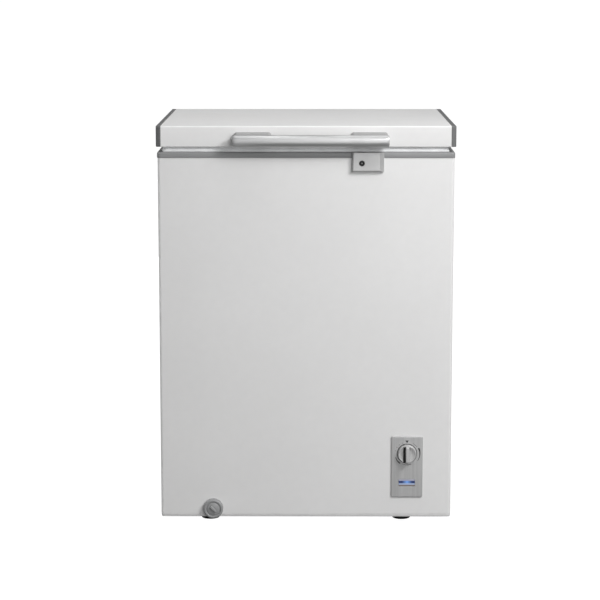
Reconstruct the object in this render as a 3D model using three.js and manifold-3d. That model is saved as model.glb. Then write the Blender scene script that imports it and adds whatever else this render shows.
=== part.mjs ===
// A small chest freezer as an assembly of its separate pieces.
// Millimetres. X runs to the right, Y to the back and Z up; the floor is at Z = 0.
import * as THREE from 'three';
import { mergeVertices } from 'three/addons/utils/BufferGeometryUtils.js';
import Module from 'manifold-3d';

const wasm = await Module();
wasm.setup();

// Cabinet
const GAP = 0.3; // clearance between touching pieces
const SHEET = 1; // sheet metal
const HALF_BODY = 309;
const FRONT = -244;
const BACK = 266;
const SHELL_BOTTOM = 15;
const SHELL_TOP = 784;
const FRONT_RADIUS = 6;
const WALL = 46; // outer face to the tub's inner face
const COIL_ROOM = 8.3; // from a sheet's outer face to the foam
const FOAM_BOTTOM = 16.5;
const FOAM_TOP = 782.9;
const RIM_TOP = 795.5;

// Tub
const TUB_FLOOR = 65;
const STEP_X = 78;
const STEP_TOP = 342;
const TUB_RADIUS = 15;

// Machine bay under the step
const BAY_LEFT = 118;
const BAY_CEILING = 300;
const TRAY_TOP = 17;
const CAN = [213, 150]; // the compressor's axis

// Coils: a few runs around the cabinet, with their feeds at a seam on the right wall
const SEAM_Y = 60;
const SEAM_HALF = 30;
const EVAPORATOR = { x: 268, level: 390, pitch: 115, runs: 4, channel: 4.5, feed: 285 };
const CONDENSER = { x: 304.5, level: 370, pitch: 110, runs: 4, feed: 250 };
const DRIER_X = 280;
const DRIER_Y = -40;

// Lid
const HALF_LID = 312;
const TRIM_WIDTH = 10;
const LID_FRONT = -249;
const LID_BACK = 271;
const LID_BOTTOM = 806.5;
const LID_TOP = 850;
const LID_RADIUS = 4;
const LID_FLANGE = 12; // the skin's edge folded in under the lid
const PLUG_X = 245;
const PLUG_Y = [-178, 200];
const PLUG_BOTTOM = 800.4;
const SEAL_X = 299;
const SEAL_Y = [-243, 258];
const SEAL_WIDTH = 12;

// Hinges
const HINGE_X = 190;
const PIVOT_Y = 274;
const PIVOT_Z = 800;
const KNUCKLE_RADIUS = 5;
const PIN_RADIUS = 2.5;

// Handle
const BAR_CENTRE = 9.7;
const BAR_HALF = 162.2;
const BAR_FRONT = -283;
const BAR_DEPTH = 12;
const BAR_Z = [807.5, 832.5];
const BAR_BOW = 4;
const MOUNTS = [['left', -149, -72], ['right', 93.5, 169.6]];

// Lock
const LOCK_X = [95.5, 162.5];
const LOCK_Z = [754.5, 795];
const LOCK_FRONT = -255;
const LOCK_WALL = 2.5;
const KEY_X = 116;
const KEY_Z = 772.7;
const CAM_Y = [-247.6, -246.1];
const CAM_REACH = 43;

// Thermostat and its panel
const KNOB_X = 215;
const KNOB_Z = 154;
const KNOB_RADIUS = 20;
const PANEL_X = [181.5, 248.5];
const PANEL_Z = [58.5, 192];
const PANEL_FRONT = -247.5;
const WINDOW_X = [197.8, 232.2];
const WINDOW_Z = [82.7, 98.1];

// Drain
const DRAIN_X = -197.6;
const DRAIN_Z = 34;
const CAP_RADIUS = 21;
const SUMP_Y = -150;
const DRAIN_PIPE_RADIUS = 13;

// Feet and rollers
const FOOT_X = 206;
const FOOT_Y = -192;
const ROLLER_Y = 215;
const ROLLER_RADIUS = 11;

// Materials: colour, roughness, metalness
const finish = (color, roughness, metalness) =>
  new THREE.MeshStandardMaterial({ color, roughness, metalness });
const WHITE_PAINT = finish(0xe9e9e8, 0.42, 0);
const GREY_PLASTIC = finish(0x9b9da0, 0.5, 0);
const SILVER_PLASTIC = finish(0xb4b5b7, 0.38, 0.3);
const BRUSHED_METAL = finish(0xb9babc, 0.32, 0.9);
const GASKET_RUBBER = finish(0xc9cbcd, 0.7, 0);
const LINER_WHITE = finish(0xdfe2e4, 0.45, 0.1);
const FOAM = finish(0xdccf9c, 0.95, 0);
const ZINC_STEEL = finish(0x9ea1a4, 0.42, 0.9);
const BLACK_STEEL = finish(0x1c1d1f, 0.38, 0.3);
const BLACK_PLASTIC = finish(0x222325, 0.6, 0);
const COPPER = finish(0xb06a44, 0.35, 0.95);
const BLUE_LENS = finish(0x3568b8, 0.12, 0);
const BASKET_WIRE = finish(0xeceeee, 0.4, 0);

// ---- Shape helpers ----

function toSolid(shape) {
  if (!(shape instanceof THREE.BufferGeometry)) return shape;
  shape.deleteAttribute('normal');
  shape.deleteAttribute('uv');
  const merged = mergeVertices(shape, 1e-4);
  const vertProperties = new Float32Array(merged.attributes.position.array);
  const triVerts = new Uint32Array(merged.index.array);
  return new wasm.Manifold(new wasm.Mesh({ numProp: 3, vertProperties, triVerts }));
}

function toGeometry(solid) {
  const mesh = solid.getMesh();
  const geometry = new THREE.BufferGeometry();
  geometry.setAttribute('position', new THREE.BufferAttribute(mesh.vertProperties, 3));
  geometry.setIndex(new THREE.BufferAttribute(mesh.triVerts, 1));
  geometry.computeVertexNormals();
  return geometry;
}

const join = (...shapes) => shapes.map(toSolid).reduce((sum, next) => sum.add(next));
const cut = (base, ...tools) =>
  tools.map(toSolid).reduce((rest, tool) => rest.subtract(tool), toSolid(base));

function box([x0, x1], [y0, y1], [z0, z1]) {
  const geometry = new THREE.BoxGeometry(x1 - x0, y1 - y0, z1 - z0);
  return geometry.translate((x0 + x1) / 2, (y0 + y1) / 2, (z0 + z1) / 2);
}

// A round bar between two points.
function rod(from, to, radius, sides = 24) {
  const start = new THREE.Vector3(...from);
  const along = new THREE.Vector3(...to).sub(start);
  const geometry = new THREE.CylinderGeometry(radius, radius, along.length(), sides);
  geometry.translate(0, along.length() / 2, 0);
  const turn = new THREE.Quaternion().setFromUnitVectors(
    new THREE.Vector3(0, 1, 0), along.normalize());
  return geometry.applyQuaternion(turn).translate(...from);
}

function roundedRect([a0, a1], [b0, b1], radius) {
  const shape = new THREE.Shape();
  shape.absarc(a1 - radius, b0 + radius, radius, -Math.PI / 2, 0);
  shape.absarc(a1 - radius, b1 - radius, radius, 0, Math.PI / 2);
  shape.absarc(a0 + radius, b1 - radius, radius, Math.PI / 2, Math.PI);
  shape.absarc(a0 + radius, b0 + radius, radius, Math.PI, 1.5 * Math.PI);
  return shape;
}

function polygon(...corners) {
  return new THREE.Shape(corners.map(([a, b]) => new THREE.Vector2(a, b)));
}

// Extrusions of an outline drawn in the XY, XZ or YZ plane.
function extrude(shape, length, curveSegments = 2) {
  return new THREE.ExtrudeGeometry(shape, { depth: length, bevelEnabled: false, curveSegments });
}
function alongZ(shape, [z0, z1], curveSegments) {
  return extrude(shape, z1 - z0, curveSegments).translate(0, 0, z0);
}
function alongY(shape, [y0, y1], curveSegments) {
  return extrude(shape, y1 - y0, curveSegments).rotateX(Math.PI / 2).translate(0, y1, 0);
}
function alongX(shape, [x0, x1], curveSegments) {
  const turn = new THREE.Matrix4().makeBasis(
    new THREE.Vector3(0, 1, 0), new THREE.Vector3(0, 0, 1), new THREE.Vector3(1, 0, 0));
  return extrude(shape, x1 - x0, curveSegments).applyMatrix4(turn).translate(x0, 0, 0);
}

// A turned piece: its profile is [radius, height] pairs, from the bottom up on the outside.
function turned(profile, sides = 24) {
  const points = profile.map(([radius, height]) => new THREE.Vector2(radius, height));
  return new THREE.LatheGeometry(points, sides).rotateX(Math.PI / 2);
}
// The same, with the profile's height pointing to the front, from a point on the axis.
function turnedToFront(profile, [x, y, z], sides = 24) {
  return turned(profile, sides).rotateX(Math.PI / 2).translate(x, y, z);
}

// A path through given points, so that a section follows each of them exactly.
class RoutedPath extends THREE.Curve {
  constructor(points) {
    super();
    this.points = points;
  }
  getPoint(t) {
    return this.points[Math.round(t * (this.points.length - 1))].clone();
  }
  getPointAt(u) {
    return this.getPoint(u);
  }
  getTangentAt(u) {
    const last = this.points.length - 1;
    const i = Math.round(u * last);
    const tangent = new THREE.Vector3();
    if (i > 0) tangent.add(this.points[i].clone().sub(this.points[i - 1]).normalize());
    if (i < last) tangent.add(this.points[i + 1].clone().sub(this.points[i]).normalize());
    return tangent.normalize();
  }
}

function tube(points, radius, sides = 8) {
  const section = new THREE.Shape();
  for (let k = 0; k < sides; k++) {
    const angle = (2 * Math.PI * k) / sides;
    const corner = [radius * Math.cos(angle), radius * Math.sin(angle)];
    if (k === 0) section.moveTo(...corner);
    else section.lineTo(...corner);
  }
  const extrudePath = new RoutedPath(points);
  return new THREE.ExtrudeGeometry(section, { steps: points.length - 1, extrudePath });
}

// A route of straight runs whose corners are rounded.
function rounded(corners, radius, steps = 2) {
  const at = corners.map((corner) => new THREE.Vector3(...corner));
  const points = [at[0]];
  for (let i = 1; i < at.length - 1; i++) {
    const before = at[i - 1].clone().sub(at[i]).setLength(radius).add(at[i]);
    const after = at[i + 1].clone().sub(at[i]).setLength(radius).add(at[i]);
    points.push(...new THREE.QuadraticBezierCurve3(before, at[i], after).getPoints(steps));
  }
  points.push(at[at.length - 1]);
  return points;
}

const freezer = new THREE.Group();

function piece(name, material, shape) {
  const geometry = shape instanceof THREE.BufferGeometry ? shape : toGeometry(shape);
  const mesh = new THREE.Mesh(geometry, material);
  mesh.name = name;
  freezer.add(mesh);
}

// The cabinet's plan, pulled in by some depth, as X and Y ranges.
const planX = (depth) => [-HALF_BODY + depth, HALF_BODY - depth];
const planY = (depth) => [FRONT + depth, BACK - depth];
const plan = (depth, radius) => roundedRect(planX(depth), planY(depth), radius);
const sheetY = planY(SHEET + GAP);

// The casing's outline: round corners at the front, square at the back.
function casingOutline(grow) {
  const x = HALF_BODY - FRONT_RADIUS;
  const y = FRONT + FRONT_RADIUS;
  const outline = new THREE.Shape();
  outline.moveTo(-HALF_BODY - grow, BACK + grow);
  outline.lineTo(-HALF_BODY - grow, y);
  outline.absarc(-x, y, FRONT_RADIUS + grow, Math.PI, 1.5 * Math.PI);
  outline.absarc(x, y, FRONT_RADIUS + grow, -Math.PI / 2, 0);
  outline.lineTo(HALF_BODY + grow, BACK + grow);
  return outline;
}

// ---- Cabinet casing ----

function addCabinetShell() {
  const wrap = alongZ(casingOutline(0), [SHELL_BOTTOM, SHELL_TOP], 3);
  const inside = alongZ(casingOutline(-SHEET), [0, 800], 3);
  const openBack = box(planX(SHEET), [BACK - 5, BACK + 5], [0, 800]);
  const inset = 5.5; // how far the panel covers the sheet around its hole
  const panelHole = box([PANEL_X[0] + inset, PANEL_X[1] - inset], [FRONT - 5, FRONT + 5],
    [PANEL_Z[0] + inset, PANEL_Z[1] - inset]);
  const drainHole = rod([DRAIN_X, FRONT - 5, DRAIN_Z], [DRAIN_X, FRONT + 5, DRAIN_Z], 15);
  piece('cabinet_shell', WHITE_PAINT, cut(wrap, inside, openBack, panelHole, drainHole));
}

// The opening in a sheet through which a rear roller's bracket rises.
const rollerHole = (x) => box([x - 18, x + 18], [ROLLER_Y - 23, ROLLER_Y + 23], [10, 20]);

function addSheets() {
  const insideX = planX(SHEET + GAP);
  const rear = box(insideX, [BACK - SHEET, BACK], [SHELL_BOTTOM, SHELL_TOP]);
  const bayOpening = box([122, 300], [BACK - 5, BACK + 5], [24, 296]);
  piece('rear_panel', WHITE_PAINT, cut(rear, bayOpening));

  const bottom = alongZ(roundedRect([insideX[0], BAY_LEFT - 1], sheetY, FRONT_RADIUS),
    [SHELL_BOTTOM, 16.2], 1);
  piece('bottom_plate', ZINC_STEEL, cut(bottom, rollerHole(-FOOT_X)));

  const floor = alongZ(roundedRect([BAY_LEFT, insideX[1]], sheetY, FRONT_RADIUS),
    [SHELL_BOTTOM, TRAY_TOP], 1);
  let tray = cut(floor, rollerHole(FOOT_X));
  for (let i = 0; i < 6; i++) {
    const y = -160 + 34 * i;
    tray = cut(tray, box([160, 270], [y, y + 8], [10, 20]));
  }
  piece('compressor_tray', ZINC_STEEL, tray);

  const side = box([BAY_LEFT - 0.7, BAY_LEFT + 0.3], sheetY, [TRAY_TOP + GAP, BAY_CEILING + SHEET]);
  const ceiling = box([BAY_LEFT - 0.7, 300.4], sheetY, [BAY_CEILING, BAY_CEILING + SHEET]);
  piece('machine_bay_wall', ZINC_STEEL, cut(join(side, ceiling), ...tubeHoles()));
}

// ---- Insulation and tub ----

// The tub's volume, grown by some depth on every side, up to a given height.
function tubVolume(grow, top) {
  const y = planY(WALL - grow);
  const radius = TUB_RADIUS + grow;
  const deep = roundedRect([-HALF_BODY + WALL - grow, STEP_X + grow], y, radius);
  const wide = roundedRect(planX(WALL - grow), y, radius);
  return join(
    alongZ(deep, [TUB_FLOOR - grow, STEP_TOP + 20]), alongZ(wide, [STEP_TOP - grow, top]));
}

function addInsulation() {
  const outer = alongZ(plan(COIL_ROOM, 14), [FOAM_BOTTOM, FOAM_TOP], 1);
  const bay = box([BAY_LEFT - 1, 400], [-400, 400], [0, BAY_CEILING + SHEET + GAP]);
  const pipe = DRAIN_PIPE_RADIUS + GAP;
  const pipeRun = rod([DRAIN_X, -300, DRAIN_Z], [DRAIN_X, SUMP_Y + pipe, DRAIN_Z], pipe, 16);
  const pipeRise = rod([DRAIN_X, SUMP_Y, DRAIN_Z - pipe], [DRAIN_X, SUMP_Y, 80], pipe, 16);
  const roller = box([-FOOT_X - 20, -FOOT_X + 20], [ROLLER_Y - 25, ROLLER_Y + 25], [0, 30]);
  const tub = tubVolume(SHEET + GAP, 800);
  piece('foam_insulation', FOAM,
    cut(outer, tub, bay, pipeRun, pipeRise, roller, ...coilChannels(), ...tubeHoles()));
}

function addLiner() {
  const flange = alongZ(plan(WALL - 22, TUB_RADIUS + 22), [FOAM_TOP + GAP, SHELL_TOP + 0.2]);
  const sump = rod([DRAIN_X, SUMP_Y, 50], [DRAIN_X, SUMP_Y, 80], 11);
  const tub = join(tubVolume(SHEET, SHELL_TOP), flange);
  piece('inner_liner', LINER_WHITE, cut(tub, tubVolume(0, 800), sump));
}

function addRim() {
  const outer = alongZ(casingOutline(1.3), [783.2, RIM_TOP], 3);
  const seat = alongZ(casingOutline(GAP), [780, 784.5], 3);
  const hollow = cut(alongZ(plan(3, 3), [784, 792.5], 1), alongZ(plan(43, 3), [780, 800], 1));
  const skirt = alongZ(plan(WALL + GAP, TUB_RADIUS), [772, 790]);
  const mouth = alongZ(plan(WALL + 5, TUB_RADIUS - 4), [760, 800]);
  piece('rim_trim', GREY_PLASTIC, cut(join(cut(outer, seat, hollow), skirt), mouth));
}

// ---- Refrigeration circuit ----

// The two feeds of the evaporator pass down through the foam and the bay's ceiling.
function tubeHoles() {
  const { x, level } = EVAPORATOR;
  return [SEAM_Y - SEAM_HALF, SEAM_Y].map((y) =>
    rod([x, y, BAY_CEILING - 5], [x, y, level], 4.2, 8));
}

// The foam's channels around the evaporator, which leave it in touch with the tub elsewhere.
function coilChannels() {
  const { x, level, pitch, runs, channel } = EVAPORATOR;
  const channels = [];
  for (let run = 0; run < runs; run++) {
    const z = level + run * pitch;
    channels.push(alongZ(plan(WALL - 8.7, 8), [z - channel, z + channel], 1));
  }
  const bend = 16; // room for the corners of the runs
  const top = level + (runs - 1) * pitch;
  const seam = box([x - 5, x + 3.7], [SEAM_Y - SEAM_HALF - bend, SEAM_Y + SEAM_HALF + bend],
    [level - bend, top + channel]);
  return [...channels, seam];
}

// Runs around the cabinet that turn back at a seam on the right wall, then come down there.
function wrapRoute({ x: halfX, level, pitch, runs, feed }) {
  const [front, back] = planY(HALF_BODY - halfX);
  const route = [[halfX, SEAM_Y - SEAM_HALF, feed]];
  const lap = [
    [halfX, SEAM_Y - SEAM_HALF], [halfX, front], [-halfX, front],
    [-halfX, back], [halfX, back], [halfX, SEAM_Y + SEAM_HALF],
  ];
  for (let run = 0; run < runs; run++) {
    const corners = run % 2 ? lap.slice().reverse() : lap;
    route.push(...corners.map(([x, y]) => [x, y, level + run * pitch]));
  }
  const top = level + (runs - 1) * pitch;
  route.push([halfX, SEAM_Y, top], [halfX, SEAM_Y, feed]);
  return route;
}

function addCoils() {
  piece('evaporator_coil', COPPER, tube(rounded(wrapRoute(EVAPORATOR), 12, 1), 3, 6));
  const hot = wrapRoute(CONDENSER);
  hot.pop();
  hot.push([CONDENSER.x, SEAM_Y, 262], [DRIER_X, SEAM_Y, 262], [DRIER_X, DRIER_Y, 262],
    [DRIER_X, DRIER_Y, 245]);
  piece('condenser_coil', COPPER, tube(rounded(hot, 9, 1), 2.5, 6));
}

function addCompressor() {
  const [x, y] = CAN;
  const can = turned([
    [0, 45], [62, 45], [75, 58], [75, 118], [78, 119], [78, 124], [75, 125], [75, 178],
    [60, 205], [30, 215], [0, 215],
  ]).translate(x, y, 0);
  const pedestal = rod([x, y, 33], [x, y, 50], 30, 12);
  const base = box([x - 80, x + 80], [y - 55, y + 55], [32, 34]);
  const dischargeStub = rod([240, SEAM_Y, 110], [240, y, 110], 4, 12);
  const suctionStub = rod([190, 64, 150], [190, y, 150], 5, 12);
  const terminals = box([190, 236], [y, 228.2], [92, 128]);
  piece('compressor', BLACK_STEEL,
    join(can, pedestal, base, dischargeStub, suctionStub, terminals));
  piece('starter_cover', BLACK_PLASTIC, box([183, 243], [228.5, 259], [86, 146]));
  const corners = [[-68, -42], [68, -42], [-68, 42], [68, 42]];
  corners.forEach(([dx, dy], i) => {
    const grommet = turned([
      [4, TRAY_TOP + GAP], [12, TRAY_TOP + GAP], [9, 24.5], [12, 31.7], [4, 31.7],
      [4, TRAY_TOP + GAP],
    ], 12);
    piece(`compressor_grommet_${i + 1}`, BLACK_PLASTIC, grommet.translate(x + dx, y + dy, 0));
  });
}

function addTubes() {
  const feedY = SEAM_Y - SEAM_HALF;
  const discharge = [
    [240, SEAM_Y - GAP, 110], [240, feedY, 110], [CONDENSER.x, feedY, 110],
    [CONDENSER.x, feedY, CONDENSER.feed - GAP],
  ];
  piece('discharge_tube', COPPER, tube(rounded(discharge, 10), 2.5));
  const feedEnd = EVAPORATOR.feed - GAP;
  const suction = [
    [EVAPORATOR.x, SEAM_Y, feedEnd], [EVAPORATOR.x, SEAM_Y, 255], [EVAPORATOR.x, 40, 255],
    [190, 40, 255], [190, 40, 150], [190, 63.7, 150],
  ];
  piece('suction_tube', COPPER, tube(rounded(suction, 9), 4));
  const drier = turned([
    [0, 120], [2.5, 120], [3, 132], [9.5, 142], [9.5, 222], [3, 232], [2.5, 244.7], [0, 244.7],
  ], 16);
  piece('filter_drier', COPPER, drier.translate(DRIER_X, DRIER_Y, 0));
  const capillary = [
    [DRIER_X, DRIER_Y, 120 - GAP], [DRIER_X, DRIER_Y, 100], [255, DRIER_Y, 100],
    [255, DRIER_Y, 270], [255, feedY, 270], [EVAPORATOR.x, feedY, 270],
    [EVAPORATOR.x, feedY, feedEnd],
  ];
  piece('capillary_tube', COPPER, tube(rounded(capillary, 6), 1.3, 6));
}

function addRearGrille() {
  const plate = box([121, 301], [BACK + GAP, BACK + 2.3], [22, 298]);
  const slots = [];
  for (let i = 0; i < 13; i++) {
    const z = 78 + 16 * i;
    slots.push(box([136, 286], [BACK - 5, BACK + 5], [z, z + 7]));
  }
  const glandHole = rod([145, BACK - 5, 46], [145, BACK + 5, 46], 8);
  piece('rear_grille', BLACK_PLASTIC, cut(plate, ...slots, glandHole));
  const gland = turnedToFront([
    [4, -5], [10, -5], [11, -2.6], [7.7, -2.6], [7.7, 2], [4, 2], [4, -5],
  ], [145, BACK, 46], 16);
  piece('cord_gland', BLACK_PLASTIC, gland);
}

// ---- Hinges ----

function addHinge(side, name) {
  const x = side * HINGE_X;
  const across = (half, radius, sides) =>
    rod([x - half, PIVOT_Y, PIVOT_Z], [x + half, PIVOT_Y, PIVOT_Z], radius, sides);
  const bore = across(40, PIN_RADIUS + GAP, 12);
  const lugs = (outline, offset, thickness) => [-1, 1].map((s) =>
    alongX(outline, [x + s * offset - thickness / 2, x + s * offset + thickness / 2]));

  const baseLug = new THREE.Shape();
  baseLug.moveTo(267.6, 748);
  baseLug.lineTo(PIVOT_Y + KNUCKLE_RADIUS, 775);
  baseLug.absarc(PIVOT_Y, PIVOT_Z, KNUCKLE_RADIUS, 0, Math.PI);
  baseLug.lineTo(269, 786);
  baseLug.lineTo(267.6, 782);
  const leaf = box([x - 24, x + 24], [BACK + GAP, 268.3], [700, 782]);
  piece(`hinge_base_${name}`, ZINC_STEEL, cut(join(leaf, ...lugs(baseLug, 22.5, 3)), bore));

  const armLug = new THREE.Shape();
  armLug.moveTo(LID_BACK + GAP, 840);
  armLug.lineTo(LID_BACK + GAP, 806);
  armLug.absarc(PIVOT_Y, PIVOT_Z, KNUCKLE_RADIUS, Math.PI, 2 * Math.PI);
  armLug.lineTo(PIVOT_Y + KNUCKLE_RADIUS, 815);
  const plate = box([x - 20, x + 20], [LID_BACK + GAP, 273.3], [808, 846]);
  piece(`hinge_arm_${name}`, ZINC_STEEL, cut(join(plate, ...lugs(armLug, 16.5, 2.6)), bore));

  const heads = [-1, 1].map((s) => rod(
    [x + s * 24.4, PIVOT_Y, PIVOT_Z], [x + s * 26.5, PIVOT_Y, PIVOT_Z], 4.2, 12));
  piece(`hinge_pin_${name}`, ZINC_STEEL, join(across(26, PIN_RADIUS, 12), ...heads));
  piece(`hinge_spring_${name}`, ZINC_STEEL, tube(springRoute(x), 0.8, 5));

  const coverSide = polygon([266.3, 690], [277, 690], [283, 697], [283, 790], [279, 794.5],
    [266.3, 794.5]);
  const hollow = box([x - 29.5, x + 29.5], [250, 280.5], [692.5, 800]);
  const rimRoom = box([x - 40, x + 40], [250, 267.6], [782.9, 800]);
  piece(`hinge_cover_${name}`, WHITE_PAINT,
    cut(alongX(coverSide, [x - 32, x + 32]), hollow, rimRoom));
}

// A torsion spring around the pin, with both legs pointing down.
function springRoute(x) {
  const turns = 3.5;
  const perTurn = 8;
  const coil = 3.9;
  const half = 12.5;
  const legEnd = 788;
  const points = [new THREE.Vector3(x - half, PIVOT_Y + coil, legEnd)];
  for (let i = 0; i <= turns * perTurn; i++) {
    const angle = (2 * Math.PI * i) / perTurn;
    points.push(new THREE.Vector3(
      x - half + (2 * half * i) / (turns * perTurn),
      PIVOT_Y + coil * Math.cos(angle), PIVOT_Z + coil * Math.sin(angle)));
  }
  points.push(new THREE.Vector3(x + half, PIVOT_Y - coil, legEnd));
  return points;
}

// ---- Lid ----

// The lid's side outline, pulled in by some depth, from a given level up.
function lidOutline(depth, bottom) {
  const outline = new THREE.Shape();
  outline.moveTo(LID_FRONT + depth, bottom);
  outline.lineTo(LID_BACK - depth, bottom);
  outline.lineTo(LID_BACK - depth, LID_TOP - depth);
  outline.absarc(LID_FRONT + LID_RADIUS, LID_TOP - LID_RADIUS, LID_RADIUS - depth,
    Math.PI / 2, Math.PI);
  return outline;
}

function addLid() {
  const skinHalf = HALF_LID - TRIM_WIDTH - GAP;
  const skin = alongX(lidOutline(0, LID_BOTTOM), [-skinHalf, skinHalf]);
  const inside = alongX(lidOutline(SHEET, LID_BOTTOM + SHEET), [-400, 400]);
  const below = box([-400, 400],
    [LID_FRONT + LID_FLANGE, LID_BACK - LID_FLANGE], [800, LID_BOTTOM + 3]);
  const camSlot = box([111, 146], [LID_FRONT + SHEET, -245.3], [800, LID_BOTTOM + 3]);
  piece('lid_skin', WHITE_PAINT, cut(skin, inside, below, camSlot));

  const hollow = HALF_LID - 2.5;
  for (const [name, sign] of [['left', -1], ['right', 1]]) {
    const span = (a, b) => [sign * a, sign * b].sort((p, q) => p - q);
    const band = alongX(lidOutline(0, LID_BOTTOM), span(HALF_LID - TRIM_WIDTH, HALF_LID));
    const room = alongX(lidOutline(2.5, LID_BOTTOM + 2.5), span(290, hollow));
    piece(`lid_trim_${name}`, GREY_PLASTIC, cut(band, room));
  }

  const flangeY = [LID_FRONT + LID_FLANGE + GAP, LID_BACK - LID_FLANGE - GAP];
  const flange = alongZ(roundedRect([-skinHalf + GAP, skinHalf - GAP], flangeY, 5),
    [LID_BOTTOM, LID_BOTTOM + 2]);
  const pan = (depth, z) => alongZ(roundedRect([-PLUG_X + depth, PLUG_X - depth],
    [PLUG_Y[0] + depth, PLUG_Y[1] - depth], 20 - depth), z);
  piece('lid_liner', LINER_WHITE,
    cut(join(flange, pan(0, [PLUG_BOTTOM, LID_BOTTOM + 2])), pan(2, [PLUG_BOTTOM + 2, 820])));

  const camRoom = box([98, 152], [LID_FRONT, -244.5], [800, 822]);
  const fill = alongX(lidOutline(SHEET + GAP, LID_BOTTOM + 2.3), [-skinHalf + GAP, skinHalf - GAP]);
  const plugFill = pan(2 + GAP, [PLUG_BOTTOM + 2 + GAP, LID_BOTTOM + 10]);
  piece('lid_foam', FOAM, cut(join(fill, plugFill), camRoom));

  const seal = (depth) => roundedRect([-SEAL_X + depth, SEAL_X - depth],
    [SEAL_Y[0] + depth, SEAL_Y[1] - depth], 10 - depth / 2);
  piece('lid_gasket', GASKET_RUBBER, cut(
    alongZ(seal(0), [RIM_TOP + GAP, LID_BOTTOM - GAP]), alongZ(seal(SEAL_WIDTH), [790, 820])));
}

// ---- Handle ----

// The bar bows gently towards its middle: the distance from its chord at a place along it.
const bow = (x) => BAR_BOW * ((x - BAR_CENTRE) / BAR_HALF) ** 2;

function bowedEdge(x0, x1, y, steps) {
  const edge = [];
  for (let i = 0; i <= steps; i++) {
    const x = x0 + ((x1 - x0) * i) / steps;
    edge.push([x, y + bow(x)]);
  }
  return edge;
}

function addHandle() {
  const ends = [BAR_CENTRE - BAR_HALF, BAR_CENTRE + BAR_HALF];
  const round = 3;
  const front = bowedEdge(ends[0] + round, ends[1] - round, BAR_FRONT + round, 14);
  const back = bowedEdge(ends[1] - round, ends[0] + round, BAR_FRONT + BAR_DEPTH - round, 14);
  const bar = new THREE.ExtrudeGeometry(polygon(...front, ...back), {
    depth: BAR_Z[1] - BAR_Z[0] - 2 * round, bevelEnabled: true, bevelSize: round,
    bevelThickness: round, bevelSegments: 2,
  });
  piece('handle_bar', BRUSHED_METAL, bar.translate(0, 0, BAR_Z[0] + round));

  for (const [name, x0, x1] of MOUNTS) {
    const rest = bowedEdge(x0, x1, BAR_FRONT + BAR_DEPTH + GAP, 5);
    const foot = polygon(...rest, [x1, LID_FRONT - GAP], [x0, LID_FRONT - GAP]);
    const slope = alongX(polygon([-290, 829], [LID_FRONT, 837.5], [LID_FRONT, 850], [-290, 850]),
      [x0 - 5, x1 + 5]);
    piece(`handle_mount_${name}`, SILVER_PLASTIC, cut(alongZ(foot, [808.5, 840]), slope));
  }
}

// ---- Lock ----

function addLock() {
  const front = LOCK_FRONT;
  const wall = LOCK_WALL;
  const [left, right] = LOCK_X;
  const [bottom, top] = LOCK_Z;
  const back = -245.6; // clear of the rim
  const bevel = [9, 6]; // along and across the face
  const outline = polygon([left, back], [left, front + 2], [left + 2, front],
    [right - bevel[0], front], [right, front + bevel[1]], [right, back]);
  const inside = polygon([left + wall, -240], [left + wall, front + wall],
    [right - bevel[0] - 1, front + wall], [right - wall, front + bevel[1] + 1.2],
    [right - wall, -240]);
  const backRim = box(LOCK_X, [back - 1, FRONT - GAP], [bottom, 782.5]);
  const hollow = alongZ(inside, [bottom + wall, top - wall]);
  const sleeve = rod([KEY_X, front + 1, KEY_Z], [KEY_X, -250, KEY_Z], 8.5);
  const bore = rod([KEY_X, front - 5, KEY_Z], [KEY_X, -240, KEY_Z], 5.8);
  const camSlot = box([105, 158], [-248.9, -240], [790, 800]);
  piece('lock_housing', SILVER_PLASTIC, cut(
    join(cut(join(alongZ(outline, LOCK_Z), backRim), hollow), sleeve), bore, camSlot));

  const length = CAM_Y[0] - GAP - front;
  const slot = 4; // the key slot's depth
  const plug = turnedToFront([
    [0, -length], [5.5, -length], [5.5, 0.4], [4.2, 0.4], [4.2, -slot], [1.9, -slot], [1.9, 0.2],
    [0, 0.2],
  ], [KEY_X, front, KEY_Z]);
  piece('lock_cylinder', BRUSHED_METAL, plug);

  const hub = rod([KEY_X, CAM_Y[0], KEY_Z], [KEY_X, CAM_Y[1], KEY_Z], 6);
  const arm = box([KEY_X, KEY_X + CAM_REACH], CAM_Y, [KEY_Z - 4, KEY_Z + 4]);
  const tooth = box([KEY_X + 37.5, KEY_X + CAM_REACH], CAM_Y, [KEY_Z, KEY_Z + 10]);
  piece('lock_cam', ZINC_STEEL, join(hub, arm, tooth));
}

// ---- Control panel ----

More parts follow.
